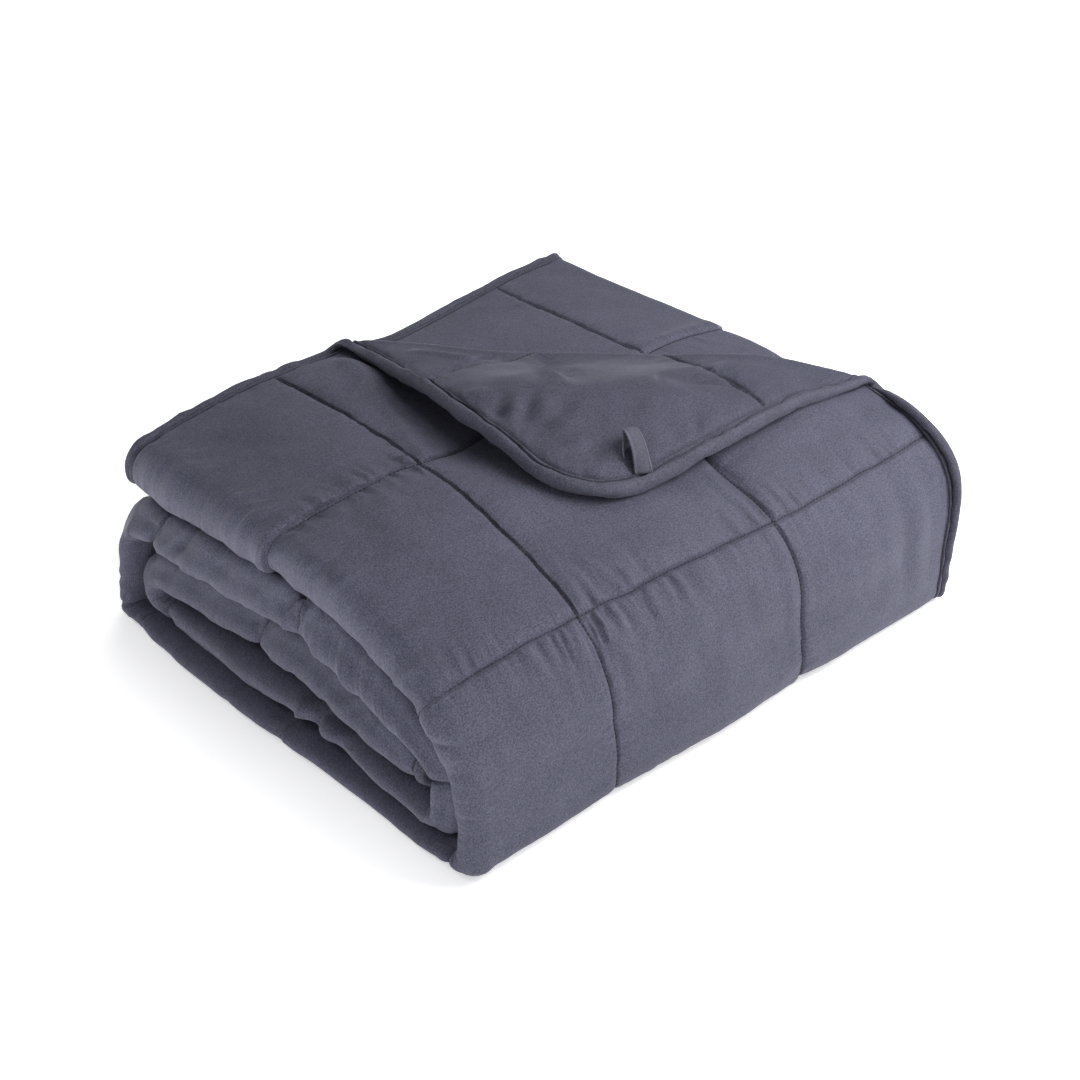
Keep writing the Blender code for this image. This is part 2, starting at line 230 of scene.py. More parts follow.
def place(u, s, w):
    """The CAD's place of the cloth point (u, s), w out of the middle of its ply, settled further as the eye sees it."""
    t = past_crease(u, s)
    over = t > 0
    phi = np.clip(t / ROLL_R, 0, math.pi)
    a = ROLL_R * np.sin(phi) - np.clip(t - TURNED, 0, None)
    off = np.clip(np.abs(t - 0.5 * TURNED) - 0.5 * TURNED, 0, None)
    pressed = np.exp(-((off / 0.020) ** 2)) * (u < 0.5)
    slack = np.exp(-((off / 0.045) ** 2))
    w = w * (1 - 0.42 * pressed)
    h = ROLL_R * (1 - np.cos(phi)) * (1 - (1 - ROLL_FLAT) * slack)
    past = t - TURNED
    h = h + 0.0030 * step(past / 0.07) + 0.0022 * hump(past, 0.085, 0.060)
    a, h = a - w * np.sin(phi), h + w * np.cos(phi)
    uu = np.where(over, u - CREASE_N[0] * (t - a), u)
    ss = np.where(over, s - CREASE_N[1] * (t - a), s)
    ww = np.where(over, h, w) - PRESS * pressed
    px, pn, nx, nn = along(PROFILE, uu)
    x, n = px + ww * nx, pn + ww * nn
    under = SLIP * step((uu - 0.30) / 0.45) - ROUND_IN * np.exp(-(((uu - 0.418) / 0.035) ** 2))
    py, pz, ny, nz = along(PATH, ss - under * (1 - step(ss / 0.20)))
    x, y, z = settle(*tighten(x, py + n * ny, pz + n * nz))
    z = z - dip(x, y) * np.clip(z / 0.148, 0, 1.05) ** 1.6 * (1 - step((t - 0.3 * TURNED) / 0.02) * (u < 0.5))
    return x, y, z


# ---- softness --------------------------------------------------------------------------------------------------------
def noise(x, y, seed):
    """Smooth noise from -1 to 1, one swing a unit."""
    table = np.random.RandomState(seed).rand(64, 64) * 2 - 1
    x, y = np.broadcast_arrays(np.asarray(x, float), np.asarray(y, float))
    xi, yi = np.floor(x).astype(int), np.floor(y).astype(int)
    fx, fy = x - xi, y - yi
    fx, fy = (f * f * f * (f * (6 * f - 15) + 10) for f in (fx, fy))
    a, b = table[xi % 64, yi % 64], table[(xi + 1) % 64, yi % 64]
    c, d = table[xi % 64, (yi + 1) % 64], table[(xi + 1) % 64, (yi + 1) % 64]
    return (a * (1 - fx) + b * fx) * (1 - fy) + (c * (1 - fx) + d * fx) * fy


# Small shifts of the cloth: (across, along, and the shift round there to the right, back and up in mm)
NUDGE_REACH = 0.07
NUDGES = np.array(
    [
        (0, 0, -0.4, 0.5, 0.1), (0, 0.07, 0.2, -2.7, -1.7), (0, 0.14, 0.2, -3.3, -2.2), (0, 0.21, 0.9, 2.3, 2.3),
        (0, 0.28, 2.8, -0.9, 1.9), (0, 0.35, 0.6, 0.2, 0.5), (0, 0.42, -0.8, 3.5, 1.1), (0.07, 0, -5.3, 0.7, -2.8),
        (0.07, 0.07, -1.7, -0.7, -1.5), (0.07, 0.14, -0.5, -1.5, -1.4), (0.07, 0.21, -0.4, -0.5, -0.7),
        (0.07, 0.28, 1, -2.4, -0.6), (0.07, 0.35, 0.3, -0.8, -0.3), (0.07, 0.42, -0.4, 2.2, 0.8),
        (0.14, 0, -3.8, -0.5, -3), (0.14, 0.07, -1.8, -0.5, -1.7), (0.14, 0.21, 0.8, -0.6, 0.1),
        (0.14, 0.28, 1.1, -1, 0.1), (0.14, 0.35, 0.7, -0.7, 0), (0.14, 0.42, 0.1, 0.5, 0.3), (0.21, 0, 2.4, -2.1, -0.4),
        (0.21, 0.07, 0.1, -1.9, -1.7), (0.21, 0.14, 0.3, -1.1, -0.8), (0.21, 0.21, 0.6, -0.5, 0),
        (0.21, 0.28, 0.7, 0.3, 0.6), (0.21, 0.35, 0.4, 0.1, 0.3), (0.28, 0, 1.4, -1.1, -0.2),
        (0.28, 0.07, 2, -1.1, 0.2), (0.28, 0.14, 2.4, -2.3, -0.4), (0.28, 0.21, 0.8, -1.1, -0.4),
        (0.28, 0.28, 0.7, 0, 0.4), (0.28, 0.42, -0.3, -0.3, -0.3), (0.35, 0, 0.8, -0.6, -0.2),
        (0.35, 0.07, 2.8, -0.8, 0.8), (0.35, 0.14, 3.3, -2.7, -0.5), (0.35, 0.21, 2, -1.4, -0.2),
        (0.35, 0.28, 2.2, 0.2, 1.1), (0.35, 0.35, 0.5, 0.2, 0.3), (0.35, 0.42, 0.4, 0, 0.1), (0.415, 0, 1.2, -0.6, -0),
        (0.415, 0.07, 3.9, -0.2, 1.5), (0.415, 0.14, 3.8, -1.2, 0.7), (0.415, 0.21, 4, -0.4, 1.3),
        (0.415, 0.28, 5.4, 1, 2.8), (0.415, 0.35, 1.2, 0.6, 0.8), (0.415, 0.42, 1.5, 0.2, 0.6),
        (0.83, 0, -1.4, 0.3, -0.9), (0.83, 0.07, -2.9, 1.6, -1.3), (0.83, 0.14, -3.4, 6.3, 2),
        (0.83, 0.21, -1, 3.4, 1.8), (0.9, 0, 1.1, -0.5, -0.9), (0.9, 0.07, 1.5, 1, 1.8), (0.9, 0.14, -0.2, 4.3, 3.1),
        (0.9, 0.21, -0.3, 2.3, 1.5), (0.97, 0, 0.9, -1.7, -2.3), (0.97, 0.07, 1, -0.5, 0.3), (0.97, 0.14, 0.3, 0.4, 0.5),
        (1.04, 0, 0.5, -2.7, -2.9), (1.04, 0.07, 0.2, -1, -0.8), (0.415, 0.52, -1.1, 0, -0.4),
        (0.415, 0.6, 1.8, 0.3, 0.8), (0.415, 0.67, 1, 0.1, 0.4), (0.415, 0.81, 3.2, 0.5, 1.6),
        (0.415, 0.88, 1.6, 0.1, 0.7), (0.415, 0.95, 4.5, -0.3, 1.6), (0.415, 1.02, 6.6, 0, 2.7),
        (0.415, 1.14, 0.6, 0, 0.3), (0.415, 1.21, 1.3, 0.1, 0.5), (0.415, 1.29, 1.8, 0, 0.7),
        (0.415, 0.546, -5.2, 0, 0), (0, 0.45, -13.0, 0, 0),
        (0, 0.290, -1.5, 0, 10.0), (0, 0.37, -5.0, 0, -7.0), (0.33, 0, 0, 0, -2.8),
        (0.25, 0, 0, 0, 2.6),
        (0.415, 1.4, 3.2, -0.2, 1.1), (0.415, 1.47, 4.4, -0.1, 1.6), (0.415, 1.54, 4.4, -0.1, 1.6),
    ]
)


def nudged(u, s):
    """Shifts, smooth over the cloth, that carry its edges and sewn lines to where they lie on the real one."""
    out = np.zeros(np.shape(u) + (3,))
    for cu, cs, *amount in NUDGES:
        near = np.exp(-((u - cu) ** 2 + (s - cs) ** 2) / NUDGE_REACH**2)
        out += near[..., None] * (0.001 * np.array(amount))
    return out


def curled(u, s, w):
    """The free edge at the right end stands up behind its squares, most of all beside the turned-back corner."""
    root = 0.0112
    angle = math.radians(34) * (step((s - 0.262) / 0.020) - step((s - 0.31) / 0.10)) + math.radians(44) * hump(s, 0.292, 0.046)
    angle = np.where(past_crease(u, s) < 0.25 * TURNED, angle, 0.0)
    out = np.clip(root - u, 0, None)
    return np.where(u < root, root - out * np.cos(angle) + w * np.sin(angle) * step(out / 0.004), u), np.where(
        u < root, w * np.cos(angle) + out * np.sin(angle) * 1.15, w
    )


def shape(u, s, w):
    """World place of a cloth point, with the drape that the CAD leaves out, in the record's frame."""
    u, s, w = np.broadcast_arrays(*(np.asarray(v, float) for v in (u, s, w)))
    cu, cs = u, s
    u, w = curled(u, s, w)
    # sewn lines wander a little
    inside = step(np.minimum(np.minimum(u, WIDTH - u), np.minimum(s, LENGTH - s)) / 0.03)
    uu = u + inside * 0.0009 * noise(s / 0.021, u / 0.15, 11)
    ss = s + inside * 0.0010 * noise(u / 0.019, s / 0.15, 12)
    t = past_crease(u, s)
    flap = step((t - TURNED) / 0.02) * (u < 0.5)
    w = w - flap * (0.0013 * noise(u / 0.045, s / 0.045, 13) + 0.0006 * noise(u / 0.018, s / 0.018, 14))
    x, y, z = place(uu, ss, w)
    out = np.stack([x, y, z], -1) - SHIFT + nudged(cu, cs)
    out[..., 2] = np.maximum(out[..., 2], 0.0)
    return out


def nearest(v, marks):
    """Distance to the nearest sewn line, which line, and on which side of it."""
    gap = v[..., None] - np.asarray(marks)
    k = np.argmin(np.abs(gap), -1)
    d = np.take_along_axis(gap, k[..., None], -1)[..., 0]
    return np.abs(d), k, np.sign(d)


def swell(d, soft):
    """How far the filling has risen at so far from a sewn line."""
    return 0.62 * (1 - np.exp(-d / soft)) + 0.38 * step(d / 0.058)


#            line    depth  puckers  their length
LINES_S = {0: (1.00, 0.00190, 0.014), 1: (0.72, 0.00210, 0.024), 2: (0.95, 0.0016, 0.016)}
LINES_U = {0: (1.00, 0.00120, 0.012), 1: (1.00, 0.00120, 0.012), 2: (1.00, 0.0014, 0.012)}
PLAIN = (1.00, 0.00160, 0.013)


def edge_distance(u, s, inset):
    """How far a cloth point lies inside the outline."""
    r = CORNER_R - inset
    du = np.minimum(u - inset, WIDTH - inset - u)
    ds = np.minimum(s - inset, LENGTH - inset - s)
    in_corner = (du < r) & (ds < r)
    return np.where(in_corner, r - np.hypot(r - du, r - ds), np.minimum(du, ds))


#         from (u, s)     to (u, s)      height, width in mm: creases (-) and ridges (+) of the faces
FOLDS_OUT = [
    (0.264, 0.030, 0.275, 0.080, 2.4, 7),
    (0.275, 0.080, 0.299, 0.146, 1.9, 6),
    (0.262, 0.010, 0.249, 0.058, -3.0, 4),
    (0.274, 0.006, 0.262, 0.040, 1.6, 5),
    (0.152, 0.236, 0.153, 0.290, -1.9, 6),
    (0.134, 0.258, 0.131, 0.286, 1.5, 13),
    (0.235, 0.180, 0.215, 0.260, 1.1, 14),
    (0.345, 0.100, 0.385, 0.040, -0.8, 9),
    (0.225, 0.140, 0.222, 0.118, -1.0, 4),
    (0.345, 0.160, 0.350, 0.190, 1.0, 5),
    (0.365, 0.161, 0.372, 0.196, -1.1, 4),
    (0.190, 0.312, 0.196, 0.340, -0.9, 5),
    (0.250, 0.290, 0.256, 0.262, -1.0, 4),
    (0.272, 0.290, 0.280, 0.268, 0.9, 5),
    (0.436, 0.739, 0.410, 0.736, -2.0, 2.6),
    (0.434, 0.700, 0.412, 0.712, -1.8, 2.6),
    (0.420, 0.316, 0.392, 0.331, -2.4, 3),
    (0.424, 0.336, 0.400, 0.340, 1.4, 4),
    (0.440, 0.566, 0.416, 0.556, -2.8, 3.2),
    (0.440, 0.577, 0.416, 0.568, 1.8, 4),
    (0.440, 0.588, 0.416, 0.594, -2.6, 3.2),
    (0.438, 0.606, 0.416, 0.602, 1.2, 4),
    (0.428, 0.985, 0.398, 0.990, -2.2, 3.5),
    (0.428, 0.972, 0.404, 0.980, 1.4, 4),
    (0.424, 0.838, 0.398, 0.832, -1.8, 3.5),
    (0.420, 0.852, 0.400, 0.856, 1.1, 5),
    (0.426, 1.235, 0.402, 1.226, -2.0, 3),
    (0.424, 1.205, 0.400, 1.199, -1.6, 4),
    (0.430, 1.445, 0.400, 1.436, -2.2, 3),
    (0.430, 1.470, 0.402, 1.476, -1.8, 3.5),
    (0.430, 1.500, 0.402, 1.492, -1.4, 4),
    (0.392, 0.196, 0.420, 0.200, -1.3, 3.5),
    (0.392, 0.214, 0.420, 0.219, 1.0, 3.5),
    (0.394, 0.243, 0.420, 0.250, -0.8, 3.0),
    (0.396, 0.263, 0.420, 0.261, -0.5, 4.5),
    (0.392, 0.279, 0.420, 0.282, 0.6, 3),
    (0.392, 0.118, 0.420, 0.122, -0.9, 4),
    (0.060, 0.300, 0.052, 0.372, -1.5, 5),
    (0.046, 0.302, 0.036, 0.380, 1.3, 6),
    (0.030, 0.310, 0.020, 0.372, -1.2, 5),
    (0.078, 0.304, 0.072, 0.350, 1.0, 5),
    (0.022, 0.262, 0.044, 0.276, -1.4, 5),
    (0.014, 0.285, 0.034, 0.290, 1.0, 5),
    (0.392, 0.078, 0.420, 0.076, -0.8, 5),
]
FOLDS_BACK = [
    (0.158, 0.034, 0.166, 0.070, -2.0, 2.4),
    (0.153, 0.015, 0.155, 0.034, -1.4, 2.2),
    (0.196, 0.026, 0.160, 0.058, 1.5, 3.5),
    (0.146, 0.085, 0.085, 0.062, 1.5, 3.0),
    (0.144, 0.094, 0.083, 0.074, -1.4, 4.5),
    (0.098, 0.029, 0.082, 0.012, -2.2, 3.5),
    (0.090, 0.036, 0.078, 0.020, 1.8, 3.0),
    (0.090, 0.046, 0.066, 0.017, -2.4, 3.4),
    (0.082, 0.052, 0.066, 0.032, 1.5, 3.0),
    (0.075, 0.050, 0.057, 0.018, -2.0, 3.4),
    (0.074, 0.060, 0.057, 0.036, -1.5, 3.6),
    (0.062, 0.052, 0.050, 0.030, 1.2, 3.4),
    (0.043, 0.029, 0.035, 0.035, 1.6, 4.0),
    (0.036, 0.030, 0.024, 0.042, -1.4, 4.0),
    (0.118, 0.012, 0.104, 0.026, 1.0, 5.0),
    (0.036, 0.150, 0.060, 0.120, -1.1, 6.0),
    (0.030, 0.075, 0.050, 0.100, 0.9, 7.0),
    (0.012, 0.100, 0.034, 0.112, -1.0, 5.0),
]


def folded(u, s, rows):
    out = np.zeros_like(u)
    for au, as_, bu, bs, height, width in rows:
        du, ds = bu - au, bs - as_
        length = math.hypot(du, ds)
        f = ((u - au) * du + (s - as_) * ds) / length**2
        g = np.clip(f, 0, 1)
        gap = np.hypot(u - au - g * du, s - as_ - g * ds)
        bend = 0.0012 * np.sin(7 * f)
        out += 0.001 * height * np.exp(-(((gap + bend) / (0.001 * width)) ** 2)) * np.sin(math.pi * np.clip(0.12 + 0.76 * g, 0, 1))
    return out


def rise(u, s, side):
    """How far a face of the cloth stands off the middle of its ply."""
    du, ku, su = nearest(u, SEAM_U)
    ds, ks, sk = nearest(s, SEAM_S)
    # how much of this face can be seen, and so may bulge
    if side > 0:
        top = (1 - step((u - 0.40) / 0.03)) * (1 - step((s - 0.425) / 0.02))
        nose = hump(u, 0.4123, 0.040)
        back = (1 - step((u - 0.40) / 0.03)) * hump(s, 0.743, 0.07)
        under = step((u - 0.83) / 0.02) * (1 - step((s - 0.20) / 0.04))
        seen = np.clip(np.maximum(np.maximum(top, nose), np.maximum(0.6 * back, 0.45 * under)), 0, 1)
    else:
        seen = step((past_crease(u, s) - 0.5 * TURNED) / 0.01) * (u < 0.5)
        nose = np.zeros_like(u)
        top = seen
    inward = np.clip(edge_distance(u, s, BIND_W + 0.0002), 0, None)
    edge = 0.40 * (1 - np.exp(-inward / 0.0013)) + 0.38 * (1 - np.exp(-inward / 0.0065)) + 0.22 * step(inward / 0.04)
    # the gathers lean: one side of the second cross seam overhangs it, the other starts low
    soft_u, soft_s = np.full_like(u, 0.0031), np.full_like(u, 0.0031)
    gathered = (ks == 0) & (side > 0)
    lean = gathered * step((u - 0.27) / 0.04)
    soft_s = np.where(sk < 0, soft_s * (1 - 0.45 * lean), soft_s * (1 + 1.8 * lean))
    soft_u = np.where((ku == 1) & (su < 0), soft_u * 1.5, soft_u)
    deep_u, deep_s = np.full_like(u, PLAIN[0]), np.full_like(u, PLAIN[0])
    pucker = np.zeros_like(u)
    for lines, d, k, sign, run, deep in (
        (LINES_U, du, ku, su, s, deep_u),
        (LINES_S, ds, ks, sk, u, deep_s),
    ):
        size, reach = np.full_like(u, PLAIN[1]), np.full_like(u, PLAIN[2])
        for line, (depth, height, length) in lines.items():
            here = k == line
            deep[here], size[here], reach[here] = depth, height, length
        seed = 20 + 7 * (lines is LINES_U)
        patch = 0.55 + 0.75 * np.clip(noise(run / 0.055 + 9 * sign, k * 3.1, seed + 2), -0.6, 1)
        long = noise(run / 0.0074 + 17 * sign + 0.3 * d / 0.01, d / 0.060 + 3 * k, seed)
        short = noise(run / 0.0052 + 5 * sign - 0.2 * d / 0.01, d / 0.045 + 3 * k, seed + 1)
        ridges = 0.80 * long + 0.50 * (0.30 - np.abs(short)) / 0.30
        pucker += size * patch * ridges * np.exp(-d / reach) * (1 - np.exp(-d / 0.0020))
    flat = np.maximum(hump(s, 0.560, 0.150), 0.7 * hump(s, 0.743, 0.045)) * hump(u, 0.4123, 0.045) * (side > 0)
    deep_s = deep_s * (1 - 0.90 * flat)
    if side < 0:
        deep_u, deep_s, pucker = 0.55 * deep_u, 0.80 * deep_s, 0.6 * pucker
    crown = (1 - deep_u * (1 - swell(du, soft_u))) * (1 - deep_s * (1 - swell(ds, soft_s)))
    groove = 0.00065 * (np.exp(-((du / 0.0012) ** 2)) + np.exp(-((ds / 0.0012) ** 2)))
    full = 0.00400 + top * 0.00130 + nose * 0.0009
    low = 0.0012
    w = (full - low) * crown - groove
    w += 0.0012 * lean * (sk < 0) * np.exp(-(((ds - 0.005) / 0.005) ** 2)) * (ds > 0)
    w += (0.15 + 0.85 * seen) * (1 - 0.65 * flat) * pucker
    rim = np.exp(-inward / 0.0060) * (1 - np.exp(-inward / 0.0012))
    w += seen * rim * (0.0016 * noise((u - s) / 0.0065, inward / 0.02, 71) + 0.0009 * noise((u - s) / 0.0034, inward / 0.02, 72))
    soft = crown * (0.00155 * noise(u / 0.055, s / 0.049, 31) + 0.00070 * noise(u / 0.024, s / 0.027, 32))
    w += seen * (1 - 0.75 * flat) * soft
    if side > 0:
        # the left folds: fuller shoulders than a half round, cross wrinkles and a wandering edge
        around = (u - (0.3978 + 0.0289 / 2)) / 0.0289  # -0.5 to 0.5 round the fold
        bend = np.clip(np.abs(around) * 2, 0, 1.4)
        shoulder = np.exp(-(((bend - 0.54) / 0.36) ** 2))
        belly = np.exp(-((around / 0.75) ** 2))
        lower = step((s - 0.40) / 0.03)
        floor_level = np.maximum(hump(s, 0.560, 0.150), 0.8 * hump(s, 0.743, 0.045))
        w += 0.0040 * shoulder * lower
        cross = noise(s / 0.0092 + 1.1 * around, u / 0.045, 51) + 0.6 * noise(s / 0.0050 + 1.8 * around, u / 0.03, 52)
        crease = (0.24 - np.abs(noise(s / 0.0130 + 1.6 * around, u / 0.05, 56))) / 0.24
        much = 0.45 + 0.75 * np.clip(noise(s / 0.06, 3.3, 53), -0.5, 1)
        near = 0.45 + 0.90 * np.exp(-ds / 0.020)
        w += belly * (0.55 + 0.45 * lower) * (1 - 0.6 * floor_level) * much * near * (0.00110 * cross + 0.00175 * crease)
        w += belly * (1 - 0.85 * floor_level) * (0.0006 * noise(s / 0.036, 1.7, 54) + 0.0007 * noise(s / 0.013, 5.1, 55))
        w -= belly * lower * (1 - 0.85 * floor_level) * (0.0018 * np.exp(-((ds / 0.0020) ** 2)) + 0.0012 * np.exp(-((ds / 0.0070) ** 2)))
        # long soft drag lines down the front, from the seam along its top edge
        drag = step((s - 0.298) / 0.012) * (1 - step((s - 0.335) / 0.075)) * (u < 0.39)
        w += drag * (0.0011 * noise(u / 0.0115, s / 0.14, 81) + 0.0007 * noise(u / 0.0062, s / 0.10, 82)) * (0.5 + np.clip(noise(u / 0.07, 2.2, 83), -0.4, 1))
        w += folded(u, s, FOLDS_OUT) * (1 - 0.5 * floor_level * belly)
    else:
        w += 1.8 * folded(u, s, FOLDS_BACK) * seen
    w = low + w * edge
    return np.clip(w, 0.0007, None)


# ---- one mesh for the quilted body -----------------------------------------------------------------------------------
K = 96  # finest lines in a square


def station(index, marks):
    """Place of a lattice line, closer together near the sewn lines."""
    k = np.minimum(index // K, len(marks) - 2)
    t = (index - k * K) / K
    t = t - 0.5 * np.sin(2 * np.pi * t) / (2 * np.pi)
    return marks[k] + (marks[k + 1] - marks[k]) * t


def rank(index):
    """0 for the coarsest lines, 4 for the finest."""
    out = np.full(index.shape, 4)
    for level, every in ((3, 2), (2, 4), (1, 8), (0, 16)):
        out[index % every == 0] = level
    return out


TURNS = [(at, at + length) for _, at, length, radius, *_ in PATH if radius]


def wanted(u, s, side):
    """The finest lattice lines that this part of a face needs, (lines of u, lines of s)."""
    lu, ls = np.full(u.shape, 1), np.full(u.shape, 1)
    lu[((u > 0.455) & (u < 0.790)) | (u > 0.850)] = 0
    for a, b in TURNS:
        ls[(s > a - 0.004) & (s < b + 0.004)] = 3
    t = past_crease(u, s)
    turn = (t > -0.004) & (t < TURNED + 0.010) & (u < 0.3) & (s < 0.3)
    du, ku, _ = nearest(u, SEAM_U)
    ds, ks, _ = nearest(s, SEAM_S)
    if side > 0:
        top = (u < 0.40) & (s < 0.45)
        hidden = top & (t > TURNED + 0.010)
        lu[top], ls[top] = 3, 3
        near = top & ~hidden
        lu[near & (du < 0.0036)] = 4
        ls[near & (ds < 0.0036)] = 4
        lu[near & (ds < 0.015) & (ks < 2)] = 4
        lu[hidden], ls[hidden] = 1, 1
        nose = (u > 0.388) & (u < 0.440)
        lu[nose], ls[nose] = 4, 3
        ls[nose & (u > 0.394) & (u < 0.432) & (((s > 0.05) & (s < 0.40)) | (ds < 0.013))] = 4
        fold = (u > 0.800) & (u < 0.832)
        lu[fold] = 3
        ls[fold] = np.maximum(ls[fold], 2)
        back = (u < 0.40) & (s > 0.68) & (s < 0.81)
        lu[back] = 2
        ls[back] = 3
        under = (u > 0.832) & (u < 1.09) & (s < 0.22) & ((u - 0.83) + s < 0.28)
        lu[under], ls[under] = 3, 3
    else:
        shown = (t > 0) & (u < 0.3) & (s < 0.3)
        lu[shown], ls[shown] = 3, 3
        lu[shown & (ds < 0.015)] = 4
        ls[shown & (du < 0.015)] = 4
        lu[shown & (edge_distance(u, s, BIND_W) < 0.010)] = 4
        ls[shown & (edge_distance(u, s, BIND_W) < 0.010)] = 4
    if side < 0:
        lu[turn], ls[turn] = 4, 4
    return lu, ls


def rim_lines():
    """Lattice lines that the outline keeps: (across the blanket, along it)."""
    iu, is_ = np.arange(K * (len(MARKS_U) - 1) + 1), np.arange(K * (len(MARKS_S) - 1) + 1)
    u, s = station(iu, MARKS_U), station(is_, MARKS_S)
    lu = np.full(u.shape, 2)
    lu[u < 0.30] = 3
    lu[((u > 0.386) & (u < 0.444)) | ((u > 0.796) & (u < 0.836))] = 4
    lu[(u > CREASE_U - 0.040) & (u < CREASE_U + 0.004)] = 4
    ls = np.full(s.shape, 2)
    ls[s < 0.47] = 3
    for a, b in TURNS:
        ls[(s > a - 0.004) & (s < b + 0.004)] = 3
    ls[(s > CREASE_S - 0.040) & (s < CREASE_S + 0.004)] = 4
    return u[rank(iu) <= lu], s[rank(is_) <= ls]


def outline(inset, us, ss):
    """The outline, inset by so much: (u, s, and the way out in the cloth's plane), with its round corners."""
    r = CORNER_R - inset
    lo_u, hi_u, lo_s, hi_s = inset, WIDTH - inset, inset, LENGTH - inset
    us = [u for u in us if lo_u + r + 0.0012 < u < hi_u - r - 0.0012]
    ss = [s for s in ss if lo_s + r + 0.0012 < s < hi_s - r - 0.0012]
    pts = []

    def corner(cu, cs, start):
        for k in range(19):
            a = start + math.pi / 2 * k / 18
            pts.append((cu + r * math.cos(a), cs + r * math.sin(a), math.cos(a), math.sin(a)))

    corner(lo_u + r, lo_s + r, math.pi)
    pts.extend((u, lo_s, 0.0, -1.0) for u in us)
    corner(hi_u - r, lo_s + r, 1.5 * math.pi)
    pts.extend((hi_u, s, 1.0, 0.0) for s in ss)
    corner(hi_u - r, hi_s - r, 0.0)
    pts.extend((u, hi_s, 0.0, 1.0) for u in reversed(us))
    corner(lo_u + r, hi_s - r, 0.5 * math.pi)
    pts.extend((lo_u, s, -1.0, 0.0) for s in reversed(ss))
    return np.array(pts)


def face_of(rim, inset, side):
    """One face of the cloth: its points (u, s), the rim's first, and its triangles, all turned one way."""
    iu, is_ = np.arange(K * (len(MARKS_U) - 1) + 1), np.arange(K * (len(MARKS_S) - 1) + 1)
    u, s = station(iu, MARKS_U), station(is_, MARKS_S)
    ru, rs = rank(iu), rank(is_)
    flat = [rim[:, :2]]
    for k in range(len(iu)):
        uu = np.full(s.shape, u[k])
        lu, ls = wanted(uu, s, side)
        keep = (ru[k] <= lu) & (rs <= ls) & (edge_distance(uu, s, inset) > 0.0014)
        flat.append(np.stack([uu[keep], s[keep]], 1))
    flat = np.concatenate(flat)
    n = len(rim)
    verts, _, faces, _, _, _ = delaunay_2d_cdt(
        [Vector((float(a), float(b))) for a, b in flat], [(k, (k + 1) % n) for k in range(n)], [], 1, 1e-7
    )
    uv = np.array([tuple(v) for v in verts])
    tri = np.array([tuple(f) for f in faces])
    a, b = uv[tri[:, 1]] - uv[tri[:, 0]], uv[tri[:, 2]] - uv[tri[:, 0]]
    wrong = a[:, 0] * b[:, 1] - a[:, 1] * b[:, 0] < 0
    tri[wrong] = tri[wrong][:, ::-1]
    if len(uv) < len(flat) or not np.allclose(uv[:n], rim[:, :2], atol=1e-6):
        print("rim changed", len(uv), len(flat))
    return uv, tri


def build_mesh(name, points, faces, cloth=None, smooth=True):
    """A mesh object from arrays, with its faces out and its cloth coordinates as a UV map."""
    points = np.asarray(points, float)
    sizes = np.array([len(f) for f in faces]) if not isinstance(faces, np.ndarray) else np.full(len(faces), faces.shape[1])
    loops = np.concatenate([np.asarray(f) for f in faces]) if not isinstance(faces, np.ndarray) else faces.ravel()
    mesh = bpy.data.meshes.new(name)
    mesh.vertices.add(len(points))
    mesh.vertices.foreach_set("co", points.astype(np.float32).ravel())
    mesh.loops.add(len(loops))
    mesh.loops.foreach_set("vertex_index", loops.astype(np.int32))
    mesh.polygons.add(len(sizes))
    starts = np.concatenate([[0], np.cumsum(sizes)[:-1]])
    mesh.polygons.foreach_set("loop_start", starts.astype(np.int32))
    mesh.update(calc_edges=True)
    mesh.validate()
    if smooth:
        mesh.shade_smooth()
    if cloth is not None:
        layer = mesh.uv_layers.new(name="cloth", do_init=False)
        layer.uv.foreach_set("vector", np.asarray(cloth, np.float32)[loops].ravel())
    obj = bpy.data.objects.new(name, mesh)
    bpy.context.scene.collection.objects.link(obj)
    return obj


def facing_out(points, tri):
    a, b, c = points[tri[:, 0]], points[tri[:, 1]], points[tri[:, 2]]
    return tri if (a * np.cross(b, c)).sum() > 0 else tri[:, ::-1]


def make_body():
    us, ss = rim_lines()
    inset = BIND_W - 0.0016
    rim = outline(inset, us, ss)
    n = len(rim)
    outer_uv, outer = face_of(rim, inset, 1)
    inner_uv, inner = face_of(rim, inset, -1)
    top = shape(outer_uv[:, 0], outer_uv[:, 1], rise(outer_uv[:, 0], outer_uv[:, 1], 1))
    low = shape(inner_uv[:, 0], inner_uv[:, 1], -rise(inner_uv[:, 0], inner_uv[:, 1], -1))
    points = np.concatenate([top, low])
    m = len(outer_uv)
    k = np.arange(n)
    j = (k + 1) % n
    wall = np.concatenate([np.stack([j, k, k + m], 1), np.stack([j, k + m, j + m], 1)])
    tri = np.concatenate([outer, inner[:, ::-1] + m, wall])
    tri = facing_out(points, tri)
    cloth = np.concatenate([outer_uv, inner_uv + [0.37, 0.0]])
    # distances to the sewn lines and to the left fold, for the shader's gather bumps; those to the sewn lines also set
    # its painted shade along them
    gaps = [np.concatenate([nearest(v[:, k], marks)[0] for v in (outer_uv, inner_uv)]) for k, marks in ((0, SEAM_U), (1, SEAM_S))]
    gaps.append(np.maximum(np.abs(np.concatenate([outer_uv, inner_uv])[:, 0] - 0.4123) - 0.007, 0.0021))
    print("body", len(points), "points", len(tri), "triangles, outer and inner", len(outer), len(inner))
    body = build_mesh("blanket_body", points, tri, cloth)
    reverse = ((tri >= m).all(1)).astype(np.int32)
    body.data.polygons.foreach_set("material_index", reverse)
    for gap, values in zip(("gap_u", "gap_s", "gap_fold"), gaps):
        body.data.attributes.new(gap, "FLOAT", "POINT").data.foreach_set("value", values.astype(np.float32))
    return body


